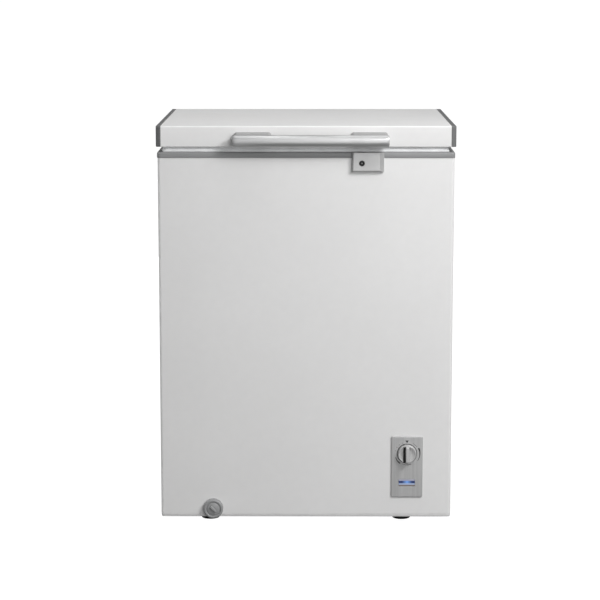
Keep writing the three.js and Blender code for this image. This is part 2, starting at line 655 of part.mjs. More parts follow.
function addControls() {
  const face = roundedRect(PANEL_X, PANEL_Z, 4);
  const back = FRONT - GAP;
  const around = ([low, high]) => [low - GAP, high + GAP];
  const shaftHole = rod([KNOB_X, -260, KNOB_Z], [KNOB_X, -230, KNOB_Z], 3.6);
  const windowHole = box(around(WINDOW_X), [-260, -230], around(WINDOW_Z));
  piece('control_panel', SILVER_PLASTIC,
    cut(alongY(face, [PANEL_FRONT, back]), shaftHole, windowHole));
  piece('indicator_window', BLUE_LENS, box(WINDOW_X, [PANEL_FRONT + 0.4, back - 0.1], WINDOW_Z));

  const disc = turnedToFront([
    [0, 5.2], [3.3, 5.2], [3.3, 0], [KNOB_RADIUS, 0], [KNOB_RADIUS, 2],
    [KNOB_RADIUS - 1.5, 8.2], [0, 8.2],
  ], [KNOB_X, PANEL_FRONT - GAP, KNOB_Z], 32);
  const grip = box([KNOB_X - 3.5, KNOB_X + 3.5], [-266, -254], [KNOB_Z - 18, KNOB_Z + 18]);
  piece('thermostat_knob', SILVER_PLASTIC, join(disc, grip));
  piece('thermostat_shaft', ZINC_STEEL,
    rod([KNOB_X, -252.7, KNOB_Z], [KNOB_X, -236, KNOB_Z], 3, 16));
  const bodyBore = rod([KNOB_X, -250, KNOB_Z], [KNOB_X, -234, KNOB_Z], 3.3, 16);
  piece('thermostat_body', BLACK_PLASTIC,
    cut(box([190, 240], [FRONT, -205], [130, 178]), bodyBore));
}

// ---- Defrost drain ----

function addDrain() {
  const centre = [DRAIN_X, FRONT, DRAIN_Z];
  const cap = turnedToFront([
    [0, 8], [10.4, 8], [10.4, -7], [13, -7], [13, 0.4], [CAP_RADIUS, 0.4], [CAP_RADIUS, 9],
    [CAP_RADIUS - 2.7, 12], [0, 12],
  ], centre);
  const ridge = box([-2.5, 2.5], [-15, -11], [-16.5, 16.5]).rotateY(Math.PI / 4);
  piece('drain_cap', GREY_PLASTIC, join(cap, ridge.translate(...centre)));

  const along = (y0, y1, radius) => rod([DRAIN_X, y0, DRAIN_Z], [DRAIN_X, y1, DRAIN_Z], radius, 16);
  piece('drain_spout', GREY_PLASTIC, cut(along(-251, -180, 10), along(-260, -170, 7.5)));

  const bore = 11;
  const up = (z0, radius) => rod([DRAIN_X, SUMP_Y, z0], [DRAIN_X, SUMP_Y, 63.7], radius, 16);
  const outside = join(
    along(-236.5, SUMP_Y + DRAIN_PIPE_RADIUS, DRAIN_PIPE_RADIUS),
    up(DRAIN_Z - DRAIN_PIPE_RADIUS, DRAIN_PIPE_RADIUS));
  const opening = rod([DRAIN_X, SUMP_Y, DRAIN_Z], [DRAIN_X, SUMP_Y, 70], bore, 16);
  piece('drain_pipe', GREY_PLASTIC, cut(outside, along(-240, SUMP_Y + bore, bore), opening));

  const plug = turned([[0, 56], [10.5, 58], [10.5, 65.3], [16, 65.3], [14, 69], [0, 69]], 16)
    .translate(DRAIN_X, SUMP_Y, 0);
  const tab = box([DRAIN_X - 7, DRAIN_X + 7], [SUMP_Y - 2, SUMP_Y + 2], [68, 82]);
  piece('drain_plug', GREY_PLASTIC, join(plug, tab));
}

// ---- Feet and rollers ----

function addFeetAndRollers() {
  for (const [name, sign] of [['left', -1], ['right', 1]]) {
    const x = sign * FOOT_X;
    const foot = turned([[0, 0], [15.5, 0], [19, 3.5], [19, 14.7], [0, 14.7]]);
    piece(`front_foot_${name}`, BLACK_PLASTIC, foot.translate(x, FOOT_Y, 0));

    const y = ROLLER_Y;
    const z = ROLLER_RADIUS;
    const flange = box([x - 25, x + 25], [y - 28, y + 28], [12.9, 14.7]);
    const hat = box([x - 16, x + 16], [y - 20, y + 20], [13, 27]);
    const room = box([x - 14, x + 14], [y - 18, y + 18], [0, 25]);
    const cheeks = [-1, 1].map((s) =>
      box([x + s * 10 - 1, x + s * 10 + 1], [y - 8, y + 8], [z - 5, 26]));
    const axle = rod([x - 12, y, z], [x + 12, y, z], 2.5, 12);
    piece(`rear_roller_bracket_${name}`, ZINC_STEEL,
      join(cut(join(flange, hat), room), ...cheeks, axle));
    const wheel = turned([
      [2.9, -7], [9.5, -7], [ROLLER_RADIUS, -5.5], [ROLLER_RADIUS, 5.5], [9.5, 7], [2.9, 7],
      [2.9, -7],
    ], 20).rotateY(Math.PI / 2);
    piece(`rear_roller_wheel_${name}`, BLACK_PLASTIC, wheel.translate(x, y, z));
  }
}

// ---- Basket ----

function addBasket() {
  const thick = 3;
  const x = [62, 248];
  const y = [-186.5, 208.5];
  const z = [602, 778];
  const hookZ = RIM_TOP + 2.2;
  const hookReach = 16;
  const wire = (x0, x1, y0, y1, z0, z1, t = thick) =>
    box([x0 - t / 2, x1 + t / 2], [y0 - t / 2, y1 + t / 2], [z0 - t / 2, z1 + t / 2]);
  const wires = [];
  for (const level of z) {
    for (const side of y) wires.push(wire(...x, side, side, level, level, 4));
    for (const side of x) wires.push(wire(side, side, ...y, level, level, 4));
  }
  for (let i = 1; i <= 3; i++) {
    const at = x[0] + ((x[1] - x[0]) * i) / 4;
    wires.push(wire(at, at, ...y, z[0], z[0]));
    for (const side of y) wires.push(wire(at, at, side, side, ...z));
  }
  for (let i = 0; i <= 5; i++) {
    const at = y[0] + ((y[1] - y[0]) * i) / 5;
    wires.push(wire(...x, at, at, z[0], z[0]));
    for (const side of x) wires.push(wire(side, side, at, at, ...z));
  }
  for (const at of [x[0] + 40, x[1] - 40]) {
    for (const [side, sign] of [[y[0], -1], [y[1], 1]]) {
      const out = [side, side + sign * hookReach].sort((a, b) => a - b);
      wires.push(wire(at, at, side, side, z[1], hookZ), wire(at, at, ...out, hookZ, hookZ));
    }
  }
  piece('wire_basket', BASKET_WIRE, join(...wires));
}

addCabinetShell();
addSheets();
addInsulation();
addLiner();
addRim();
addCoils();
addCompressor();
addTubes();
addRearGrille();
addHinge(-1, 'left');
addHinge(1, 'right');
addLid();
addHandle();
addLock();
addControls();
addDrain();
addFeetAndRollers();
addBasket();

export default freezer;
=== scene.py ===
"""The looks of a small chest freezer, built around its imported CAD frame.

Shapes are drawn in millimetres in the CAD's own frame and scaled to metres when a piece is made.
"""
import math

import bmesh
import bpy
from mathutils import Matrix, Vector


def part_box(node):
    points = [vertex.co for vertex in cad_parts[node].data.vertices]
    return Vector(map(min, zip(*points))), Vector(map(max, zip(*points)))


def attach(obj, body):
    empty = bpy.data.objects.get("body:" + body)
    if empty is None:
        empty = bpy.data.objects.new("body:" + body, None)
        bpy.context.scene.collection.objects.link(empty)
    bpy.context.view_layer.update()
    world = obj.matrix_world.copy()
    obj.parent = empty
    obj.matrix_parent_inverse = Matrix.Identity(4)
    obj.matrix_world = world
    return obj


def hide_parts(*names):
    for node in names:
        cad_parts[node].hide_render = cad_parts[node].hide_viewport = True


MM = 0.001
FINE = 8  # steps in a rounded corner that shows


# ---- Outlines ----

def round_corner(before, here, after, radius, steps):
    """Points on the arc that rounds the corner at here, in two or three dimensions."""
    to_before = (before - here).normalized()
    to_after = (after - here).normalized()
    half = to_before.angle(to_after) / 2
    centre = here + (to_before + to_after).normalized() * radius / math.sin(half)
    start = here + to_before * radius / math.tan(half) - centre
    end = here + to_after * radius / math.tan(half) - centre
    turn = start.angle(end)
    points = []
    for k in range(steps + 1):
        part = k / steps
        points.append(centre + (start * math.sin((1 - part) * turn) + end * math.sin(part * turn))
                      / math.sin(turn))
    return points


def outline(*corners, steps=FINE):
    """A closed outline through corners (a, b) or (a, b, radius)."""
    places = [Vector(corner[:2]) for corner in corners]
    points = []
    for i, corner in enumerate(corners):
        if len(corner) == 2:
            points.append(places[i])
        else:
            after = places[(i + 1) % len(corners)]
            points += round_corner(places[i - 1], places[i], after, corner[2], steps)
    return points


def rectangle(a, b, radius=0, steps=FINE):
    """A rectangle over the ranges a and b, with round corners if it has a radius."""
    rounding = (radius,) if radius else ()
    return outline((a[0], b[0], *rounding), (a[1], b[0], *rounding),
                   (a[1], b[1], *rounding), (a[0], b[1], *rounding), steps=steps)


def route(corners, radius, steps=5):
    """A line through corners in space, each rounded by the radius."""
    places = [Vector(corner) for corner in corners]
    points = [places[0]]
    for before, here, after in zip(places, places[1:], places[2:]):
        points += round_corner(before, here, after, radius, steps)
    return points + [places[-1]]


# ---- Solids ----

PLANES = {
    "x": lambda a, b, c: Vector((c, a, b)),
    "y": lambda a, b, c: Vector((a, c, b)),
    "z": lambda a, b, c: Vector((a, b, c)),
}


def facing(direction, centre):
    """Turns a shape made along +Z so that it points that way, and moves it to centre."""
    turns = {
        "up": Matrix(),
        "down": Matrix.Rotation(math.pi, 4, "X"),
        "front": Matrix.Rotation(math.pi / 2, 4, "X"),
        "back": Matrix.Rotation(-math.pi / 2, 4, "X"),
        "right": Matrix.Rotation(math.pi / 2, 4, "Y"),
    }
    return Matrix.Translation(centre) @ turns[direction]


def bridge(bm, first, second):
    """Faces between two rings of vertices, either of which may be a single point."""
    count = max(len(first), len(second))
    for k in range(count):
        corners = [first[k % len(first)], first[(k + 1) % len(first)],
                   second[(k + 1) % len(second)], second[k % len(second)]]
        face = list(dict.fromkeys(corners))
        if len(face) > 2:
            bm.faces.new(face)


def loft(bm, rings, closed=False):
    """A skin over rings of points. It is capped at both ends, or closed into a loop."""
    made = [[bm.verts.new(point) for point in ring] for ring in rings]
    for first, second in zip(made, made[1:]):
        bridge(bm, first, second)
    if closed:
        bridge(bm, made[-1], made[0])
        return
    for end in (made[0], made[-1]):
        if len(end) > 2:
            bm.faces.new(end)


def prism(bm, points, axis, span):
    """An outline drawn across an axis and extruded along it."""
    place = PLANES[axis]
    loft(bm, [[place(a, b, end) for a, b in points] for end in span])


def level_ring(x, y, z, radius, inset=0):
    """A rectangle with round corners at a level, pulled in by the inset on every side."""
    return [Vector((a, b, z)) for a, b in
            rectangle((x[0] + inset, x[1] - inset), (y[0] + inset, y[1] - inset), radius)]


def block(bm, x, y, z):
    prism(bm, rectangle(x, y), "z", z)


def lathe(bm, profile, place=Matrix(), sides=48, closed=False):
    """A turned shape from [radius, height] pairs along its axis."""
    rings = []
    for radius, height in profile:
        count = sides if radius else 1
        rings.append([place @ Vector((radius * math.cos(2 * math.pi * k / count),
                                      radius * math.sin(2 * math.pi * k / count), height))
                      for k in range(count)])
    loft(bm, rings, closed)


def inward(radius, pairs):
    """A profile given by distances inward from a radius, with their heights."""
    return [(radius - inset, height) for inset, height in pairs]


def drill(radius, reach, place):
    """A round bar that reaches as far to both sides of a place, to cut a hole with."""
    return solid(lathe, [(0, -reach), (radius, -reach), (radius, reach), (0, reach)], place)


def sweep(bm, points, radius, sides=10, closed=False):
    """A round wire or tube along points."""
    rings = []
    count = len(points)
    across = None
    for i, point in enumerate(points):
        before = points[i - 1] if closed or i else point
        after = points[(i + 1) % count] if closed or i < count - 1 else point
        along = (after - before).normalized()
        if across is None:
            across = along.orthogonal().normalized()
        across = (across - along * across.dot(along)).normalized()
        other = along.cross(across)
        rings.append([point + across * radius * math.cos(2 * math.pi * k / sides)
                      + other * radius * math.sin(2 * math.pi * k / sides) for k in range(sides)])
    loft(bm, rings, closed)


def solid(make, *args, **options):
    """A new bmesh with one shape in it."""
    bm = bmesh.new()
    make(bm, *args, **options)
    return bm


def as_object(bm, name):
    bmesh.ops.recalc_face_normals(bm, faces=bm.faces)
    mesh = bpy.data.meshes.new(name)
    bm.to_mesh(mesh)
    bm.free()
    obj = bpy.data.objects.new(name, mesh)
    bpy.context.scene.collection.objects.link(obj)
    return obj


def combine(bm, tool, operation="DIFFERENCE"):
    """Cuts one shape by another, or joins them, into a new bmesh."""
    target, other = as_object(bm, "target"), as_object(tool, "tool")
    modifier = target.modifiers.new("boolean", "BOOLEAN")
    modifier.object = other
    modifier.operation = operation
    modifier.solver = "EXACT"
    result = bmesh.new()
    result.from_object(target, bpy.context.evaluated_depsgraph_get())
    for used in (target, other):
        mesh = used.data
        bpy.data.objects.remove(used)
        bpy.data.meshes.remove(mesh)
    bmesh.ops.remove_doubles(result, verts=result.verts, dist=0.002)
    return result


def piece(name, bm, look, body, replaces=(), bevel=0.0, sharp=35):
    """Makes a finished object of a shape drawn in millimetres, and lets it ride on a body."""
    bmesh.ops.scale(bm, vec=(MM, MM, MM), verts=bm.verts)
    obj = as_object(bm, name)
    obj.data.materials.append(MATERIALS[look])
    obj.data.shade_smooth()
    if bevel:
        soften(obj, bevel * MM)
    else:
        obj.data.set_sharp_from_angle(angle=math.radians(sharp))
    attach(obj, body)
    if replaces:
        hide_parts(*replaces)
    return obj


def blacken(obj, at, chosen):
    """Gives black plastic to the faces whose centre, seen from the placing at, is chosen."""
    obj.data.materials.append(MATERIALS["black_plastic"])
    seen_from = at.inverted()
    for face in obj.data.polygons:
        if chosen(seen_from @ (face.center / MM)):
            face.material_index = 1


def soften(obj, width, steps=3):
    """Rounds a mesh's sharp edges and keeps its flat faces flat to the light."""
    rounding = obj.modifiers.new("rounding", "BEVEL")
    rounding.width = width
    rounding.segments = steps
    rounding.limit_method = "ANGLE"
    rounding.angle_limit = math.radians(40)
    rounding.miter_outer = "MITER_ARC"
    normals = obj.modifiers.new("normals", "WEIGHTED_NORMAL")
    normals.weight = 80
    normals.keep_sharp = True


# ---- Materials ----

class Finish:
    """A material whose colour, roughness and relief are built up from texture nodes."""

    def __init__(self, name, **sockets):
        self.material = bpy.data.materials.new(name)
        self.material.use_nodes = True
        self.nodes = self.material.node_tree.nodes
        self.shader = self.nodes["Principled BSDF"]
        for socket, value in sockets.items():
            self.shader.inputs[socket.replace("_", " ")].default_value = value
        self.place = self.add("ShaderNodeTexCoord").outputs["Object"]
        self.relief = None

    def add(self, kind, inputs=(), **settings):
        """A new node of a kind, with its settings made and its inputs fed."""
        node = self.nodes.new(kind)
        for setting, value in settings.items():
            setattr(node, setting, value)
        for socket, value in dict(inputs).items():
            self.feed(node.inputs[socket], value)
        return node

    def feed(self, socket, value):
        """Gives a socket a fixed value, or another node's output."""
        if isinstance(value, bpy.types.NodeSocket):
            self.material.node_tree.links.new(value, socket)
        else:
            socket.default_value = value

    def noise(self, scale, stretch=(1, 1, 1), detail=2.0, roughness=0.5):
        mapping = self.add("ShaderNodeMapping", {"Vector": self.place, "Scale": stretch})
        inputs = {"Vector": mapping.outputs[0], "Scale": scale, "Detail": detail,
                  "Roughness": roughness}
        return self.add("ShaderNodeTexNoise", inputs).outputs["Fac"]

    def cells(self, scale, output="Distance", feature="F1"):
        inputs = {"Vector": self.place, "Scale": scale}
        return self.add("ShaderNodeTexVoronoi", inputs, feature=feature).outputs[output]

    def spread(self, value, low, high, source=(0.3, 0.7)):
        """Maps a value's usual range onto another range, and clamps it."""
        inputs = {"Value": value, "From Min": source[0], "From Max": source[1], "To Min": low,
                  "To Max": high}
        return self.add("ShaderNodeMapRange", inputs).outputs["Result"]

    def compute(self, operation, first, second):
        return self.add("ShaderNodeMath", {0: first, 1: second}, operation=operation).outputs[0]

    def blend(self, factor, first, second):
        """The first colour where the factor is 0, and the second where it is 1."""
        inputs = {0: factor, 6: first, 7: second}
        return self.add("ShaderNodeMix", inputs, data_type="RGBA").outputs[2]

    def corners(self, reach, inside=True):
        """1 along a piece's outer edges, or with inside=False down in its own crevices."""
        node = self.add("ShaderNodeAmbientOcclusion", {"Distance": reach * MM}, samples=4,
                        inside=inside, only_local=True)
        return self.spread(node.outputs["AO"], 1.0, 0.0, (0.25, 0.85))

    def raise_by(self, height, depth, strength=1.0):
        """Adds relief: depth in millimetres between a height of 0 and 1."""
        inputs = {"Strength": strength, "Distance": depth * MM, "Height": height}
        node = self.add("ShaderNodeBump", inputs)
        if self.relief is not None:
            self.feed(node.inputs["Normal"], self.relief)
        self.relief = node.outputs["Normal"]

    def done(self, colour, roughness):
        self.feed(self.shader.inputs["Base Color"], colour)
        self.feed(self.shader.inputs["Roughness"], roughness)
        if self.relief is not None:
            self.feed(self.shader.inputs["Normal"], self.relief)
        return self.material


def grey(level, tint=0.0):
    """A neutral colour: slightly warm with a positive tint, slightly cool with a negative one."""
    return (level * (1 + tint), level, level * (1 - tint), 1.0)


def shade(colour, factor, lift=0.0):
    """A darker or lighter version of a colour, no brighter than white."""
    return [min(1.0, channel * factor + lift) for channel in colour[:3]] + [1.0]


def paint_finish(name, colour, roughness, peel=0.02):
    """Sprayed paint: an orange peel, faint uneven gloss, worn edges and painted shade in its
    crevices.
    """
    look = Finish(name, IOR=1.5, Specular_IOR_Level=0.35, Coat_Weight=0.1, Coat_Roughness=0.25)
    uneven = look.spread(look.noise(4.0, detail=3.0), 0.0, 1.0)
    tone = look.blend(uneven, shade(colour, 0.97), colour)
    edges = look.compute("MULTIPLY", look.corners(1.2), look.spread(look.noise(60.0), 0.0, 0.7))
    tone = look.blend(edges, tone, shade(colour, 0.9))
    # Painted shade: the colour darkens in the piece's own crevices.
    crevice_shade = look.compute("MULTIPLY", look.corners(9.0, inside=False), 0.35)
    tone = look.blend(crevice_shade, tone, shade(colour, 0.72))
    look.raise_by(look.noise(420.0, detail=1.0), peel)
    look.raise_by(look.noise(6.0, detail=1.0), 0.6, 0.5)
    smudges = look.spread(look.noise(14.0, (1, 1, 2.2), detail=4.0), roughness, roughness + 0.1)
    return look.done(tone, smudges)


def moulded_finish(name, colour, roughness, grain=0.03, grain_scale=900.0, **sockets):
    """Injection-moulded plastic: a fine grain, slight flow marks, shinier worn edges and painted
    shade in its crevices.
    """
    look = Finish(name, IOR=1.48, **sockets)
    flow = look.spread(look.noise(9.0, (1, 1, 3), detail=4.0), 0.0, 1.0)
    tone = look.blend(flow, shade(colour, 0.9), colour)
    edges = look.compute("MULTIPLY", look.corners(0.8), look.spread(look.noise(90.0), 0.1, 0.8))
    tone = look.blend(edges, tone, shade(colour, 1.18, 0.01))
    # Painted shade: the colour darkens in the piece's own crevices.
    tone = look.blend(look.corners(3.0, inside=False), tone, shade(colour, 0.55))
    look.raise_by(look.noise(grain_scale, detail=2.0), grain)
    gloss = look.spread(look.noise(35.0, detail=3.0), roughness - 0.05, roughness + 0.08)
    return look.done(tone, look.compute("SUBTRACT", gloss, look.compute("MULTIPLY", edges, 0.12)))


def silver_finish(name):
    """Silver-coloured moulded plastic with the fine upright lines of a brushed face."""
    look = Finish(name, IOR=1.5, Metallic=0.35, Coat_Weight=0.2, Coat_Roughness=0.2)
    lines = look.noise(300.0, (1, 1, 0.02), detail=4.0, roughness=0.7)
    tone = look.blend(look.spread(lines, 0.0, 1.0), grey(0.46), grey(0.60))
    patches = look.spread(look.noise(12.0, detail=3.0), 0.0, 0.25)
    tone = look.blend(patches, tone, grey(0.42, -0.01))
    # Painted shade: the colour darkens in the piece's own crevices.
    tone = look.blend(look.corners(3.0, inside=False), tone, grey(0.16))
    edges = look.compute("MULTIPLY", look.corners(0.7), look.spread(look.noise(80.0), 0.2, 0.9))
    tone = look.blend(edges, tone, grey(0.62))
    look.raise_by(lines, 0.02)
    look.raise_by(look.noise(1200.0, detail=1.0), 0.008)
    return look.done(tone, look.spread(lines, 0.3, 0.46))


def brushed_metal_finish(name, colour, roughness, stretch, line_depth=0.02, metallic=1.0):
    """Bare metal brushed one way: long fine scratches, soft hand marks and bright edges."""
    look = Finish(name, Metallic=metallic, Anisotropic=0.5)
    lines = look.noise(420.0, stretch, detail=5.0, roughness=0.75)
    dark = shade(colour, 0.84)
    tone = look.blend(look.spread(lines, 0.0, 1.0), dark, colour)
    marks = look.spread(look.noise(18.0, detail=4.0), 0.0, 0.22, (0.45, 0.7))
    tone = look.blend(marks, tone, dark)
    tone = look.blend(look.corners(0.6), tone, shade(colour, 1.2))
    look.raise_by(lines, line_depth)
    rough = look.spread(lines, roughness - 0.05, roughness + 0.08)
    return look.done(tone, look.compute("ADD", rough, look.compute("MULTIPLY", marks, 0.3)))


def zinc_finish(name, colour):
    """Galvanised steel: spangles of differing grey, dull patches and painted shade in its crevices.
    """
    look = Finish(name, Metallic=0.85)
    spangle = look.add("ShaderNodeSeparateColor", {0: look.cells(130.0, output="Color")})
    tone = look.blend(spangle.outputs[0], shade(colour, 0.72), shade(colour, 1.15))
    dull = look.spread(look.noise(22.0, detail=5.0), 0.0, 0.5, (0.4, 0.7))
    tone = look.blend(dull, tone, grey(0.42))
    # Painted shade: the colour darkens in the piece's own crevices.
    tone = look.blend(look.corners(3.0, inside=False), tone, grey(0.12))
    look.raise_by(look.noise(500.0, detail=3.0), 0.012)
    rough = look.spread(spangle.outputs[1], 0.3, 0.46, (0.0, 1.0))
    return look.done(tone, look.compute("ADD", rough, look.compute("MULTIPLY", dull, 0.2)))


def stucco_finish(name, colour):
    """Stucco-embossed aluminium sheet: rounded dimples under a clear coat."""
    look = Finish(name, Metallic=0.75, Coat_Weight=0.3, Coat_Roughness=0.2)
    dimples = look.cells(230.0, feature="SMOOTH_F1")
    look.raise_by(look.noise(7.0, detail=1.0), 0.5, 0.5)
    look.raise_by(dimples, 0.35)
    dark = shade(colour, 0.86)
    tone = look.blend(look.spread(dimples, 1.0, 0.0, (0.1, 0.7)), dark, colour)
    tone = look.blend(look.spread(look.noise(5.0, detail=4.0), 0.0, 0.3), tone, dark)
    return look.done(tone, look.spread(look.noise(30.0, detail=3.0), 0.3, 0.44))


def rubber_finish(name, colour, roughness=0.62):
    """Soft rubber or vinyl: a matte bloom, painted shade in its folds and a fine skin."""
    look = Finish(name, IOR=1.45, Sheen_Weight=0.15, Sheen_Roughness=0.5)
    dark = shade(colour, 0.82)
    tone = look.blend(look.spread(look.noise(25.0, detail=4.0), 0.0, 1.0), dark, colour)
    # Painted shade: the colour halves in the folds and crevices.
    tone = look.blend(look.corners(2.5, inside=False), tone, shade(colour, 0.5))
    look.raise_by(look.noise(700.0, detail=3.0), 0.03)
    return look.done(tone, look.spread(look.noise(40.0), roughness - 0.08, roughness + 0.08))


def foam_finish(name):
    """Rigid polyurethane foam: pale yellow, with open cells and a skin of flow marks."""
    look = Finish(name, Subsurface_Weight=0.1)
    cells = look.cells(600.0)
    tone = look.blend(look.spread(look.noise(12.0, detail=5.0), 0.0, 1.0),
                      (0.62, 0.50, 0.22, 1), (0.78, 0.69, 0.40, 1))
    # Painted shade: darker brown down in the hollows of the open cells.
    tone = look.blend(look.spread(cells, 0.4, 0.0, (0.0, 0.5)), tone, (0.45, 0.34, 0.14, 1))
    look.raise_by(cells, 0.4)
    look.raise_by(look.noise(30.0, detail=4.0), 1.5)
    return look.done(tone, look.spread(look.noise(50.0), 0.8, 0.95))


def copper_finish(name):
    """Drawn copper tube: warm metal that browns in patches."""
    look = Finish(name, Metallic=1.0)
    stain = look.spread(look.noise(45.0, detail=5.0), 0.0, 1.0)
    tone = look.blend(stain, (0.72, 0.34, 0.19, 1), (0.34, 0.15, 0.08, 1))
    look.raise_by(look.noise(600.0, detail=2.0), 0.01)
    return look.done(tone, look.compute("ADD", look.compute("MULTIPLY", stain, 0.22), 0.22))


WINDOW_GLOW = 0.35
WINDOW_BANDS = (  # height from 0 to 1, colour, and how much it covers the glow
    (0.0, (0.15, 0.11, 0.08), 1.0), (0.13, (0.15, 0.11, 0.08), 1.0),
    (0.18, (0.30, 0.32, 0.38), 1.0), (0.38, (0.34, 0.42, 0.58), 0.85),
    (0.50, (0.2, 0.3, 0.7), 0.0), (0.70, (0.2, 0.3, 0.7), 0.0),
    (0.79, (0.29, 0.29, 0.37), 0.95), (1.0, (0.38, 0.38, 0.42), 1.0),
)


def lens_finish(name, window):
    """A clear window over blue light: bright in the middle, navy at its ends, and pale bands."""
    look = Finish(name, IOR=1.5, Coat_Weight=1.0, Coat_Roughness=0.03)
    low, high = window
    axes = look.add("ShaderNodeSeparateXYZ", {0: look.place})
    centre = low.x * 0.485 + high.x * 0.515
    offset = look.compute("ABSOLUTE", look.compute("SUBTRACT", axes.outputs[0], centre), 0.0)
    middle = look.spread(offset, 1.0, 0.0, (0.0, (high.x - low.x) * 0.3))
    glow = look.blend(middle, (0.010, 0.02, 0.08, 1), (0.17, 0.34, 0.74, 1))
    up = look.spread(axes.outputs[2], 0.0, 1.0, (low.z, high.z))
    bands = look.add("ShaderNodeValToRGB", {0: up})
    ramp = bands.color_ramp
    while len(ramp.elements) < len(WINDOW_BANDS):
        ramp.elements.new(0.5)
    for element, (position, colour, cover) in zip(ramp.elements, WINDOW_BANDS):
        element.position = position
        element.color = (*colour, cover)
    tone = look.blend(bands.outputs["Alpha"], glow, bands.outputs["Color"])
    speckle = look.spread(look.noise(900.0, detail=2.0), 0.0, 0.12)
    tone = look.blend(speckle, tone, (0.1, 0.14, 0.3, 1))
    look.raise_by(look.noise(250.0, detail=1.0), 0.01)
    look.feed(look.shader.inputs["Emission Color"], tone)
    look.shader.inputs["Emission Strength"].default_value = WINDOW_GLOW
    return look.done(tone, look.spread(look.noise(120.0), 0.08, 0.16))


def floor_finish(name, glow):
    """A pale studio floor, which may glow as a lit white ground does."""
    look = Finish(name)
    tone = look.blend(look.noise(1.5, detail=2.0), grey(0.14), grey(0.16))
    look.shader.inputs["Emission Color"].default_value = grey(1.0)
    look.shader.inputs["Emission Strength"].default_value = glow
    return look.done(tone, 0.9)


# ---- Studio ----

EYE = (7.98, -4441.9, 1170.9)  # millimetres
TILT_DOWN = 9.29  # degrees
TURN_LEFT = 0.279  # degrees
LENS = 121.43  # millimetres
FLOOR_HALF = 150.0  # metres
FLOOR_GLOW = 1.0
BOUNCE_LEVEL = -1.0  # millimetres
SKY = 0.18
# Places, aims and sizes in metres.
LIGHTS = {
    "key": dict(place=(1.7, -1.9, 2.2), aim=(0.0, -0.25, 0.6), size=0.4, power=23),
    "broad": dict(place=(1.7, -2.0, 2.5), aim=(0.0, -0.25, 0.8), size=1.5, power=49),
    "front": dict(place=(0.9, -4.0, 1.0), aim=(0.0, -0.2, 0.7), size=1.6, power=39),
    "overhead": dict(place=(0.1, -0.2, 2.9), aim=(0.0, -0.1, 0.8), size=1.4, power=16),
    "back": dict(place=(-1.0, 3.6, 0.9), aim=(0.0, 0.1, 0.4), size=1.6, power=75, shine=False),
    "left": dict(place=(-3.0, 0.3, 1.2), aim=(0.0, 0.0, 0.5), size=1.6, power=36, shine=False),
}


def add_light(name, place, aim, size, power, shine=True):
    """A square soft light, which may be kept out of reflections."""
    data = bpy.data.lights.new(name, "AREA")
    data.shape = "SQUARE"
    data.size = size
    data.energy = power
    light = bpy.data.objects.new(name, data)
    bpy.context.scene.collection.objects.link(light)
    light.location = place
    light.visible_glossy = shine
    light.rotation_euler = (Vector(aim) - Vector(place)).to_track_quat("-Z", "Y").to_euler()


def add_floor(name, level, glow):
    """A wide floor. The one that shows is a lit white ground, and a darker one takes the bounce."""
    bm = bmesh.new()
    bm.faces.new([bm.verts.new((x * FLOOR_HALF, y * FLOOR_HALF, level * MM))
                  for x, y in ((-1, -1), (1, -1), (1, 1), (-1, 1))])
    floor = as_object(bm, name)
    floor.data.materials.append(floor_finish(name, glow))
    return floor


def add_camera(scene):
    data = bpy.data.cameras.new("camera")
    data.lens = LENS
    data.clip_end = 4 * FLOOR_HALF
    camera = bpy.data.objects.new("camera", data)
    scene.collection.objects.link(camera)
    camera.location = Vector(EYE) * MM
    camera.rotation_euler = (math.radians(90 - TILT_DOWN), 0, math.radians(TURN_LEFT))
    scene.camera = camera


def add_world(scene):
    """A room that lights the object softly, and shows as the same white as the floor."""
    world = bpy.data.worlds.new("studio")
    world.use_nodes = True
    nodes, links = world.node_tree.nodes, world.node_tree.links
    sky = nodes["Background"]
    sky.inputs["Color"].default_value = grey(1.0)
    ray = nodes.new("ShaderNodeLightPath")
    strength = nodes.new("ShaderNodeMapRange")
    strength.inputs["To Min"].default_value = SKY
    strength.inputs["To Max"].default_value = 1.0
    links.new(ray.outputs["Is Camera Ray"], strength.inputs["Value"])
    links.new(strength.outputs["Result"], sky.inputs["Strength"])
    scene.world = world


def add_studio():
    scene = bpy.context.scene
    add_camera(scene)
    add_world(scene)
    scene.view_settings.view_transform = "Standard"
    for name, settings in LIGHTS.items():
        add_light(name, **settings)

    shown = add_floor("studio_floor", 0.0, FLOOR_GLOW)
    shown.visible_diffuse = shown.visible_glossy = shown.visible_shadow = False
    bounce = add_floor("bounce_floor", BOUNCE_LEVEL, 0.0)
    bounce.visible_camera = False


# ---- Driving sizes from the frame ----

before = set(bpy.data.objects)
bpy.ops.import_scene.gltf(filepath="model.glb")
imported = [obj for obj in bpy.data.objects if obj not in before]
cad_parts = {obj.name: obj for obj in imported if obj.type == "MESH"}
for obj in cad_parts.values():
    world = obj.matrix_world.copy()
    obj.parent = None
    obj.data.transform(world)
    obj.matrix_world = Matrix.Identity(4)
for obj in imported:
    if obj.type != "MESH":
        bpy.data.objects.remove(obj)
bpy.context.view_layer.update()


def span(node):
    """A CAD node's ranges along X, Y and Z, in millimetres."""
    low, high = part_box(node)
    return [(low[i] / MM, high[i] / MM) for i in range(3)]


def middle(values):
    return (values[0] + values[1]) / 2


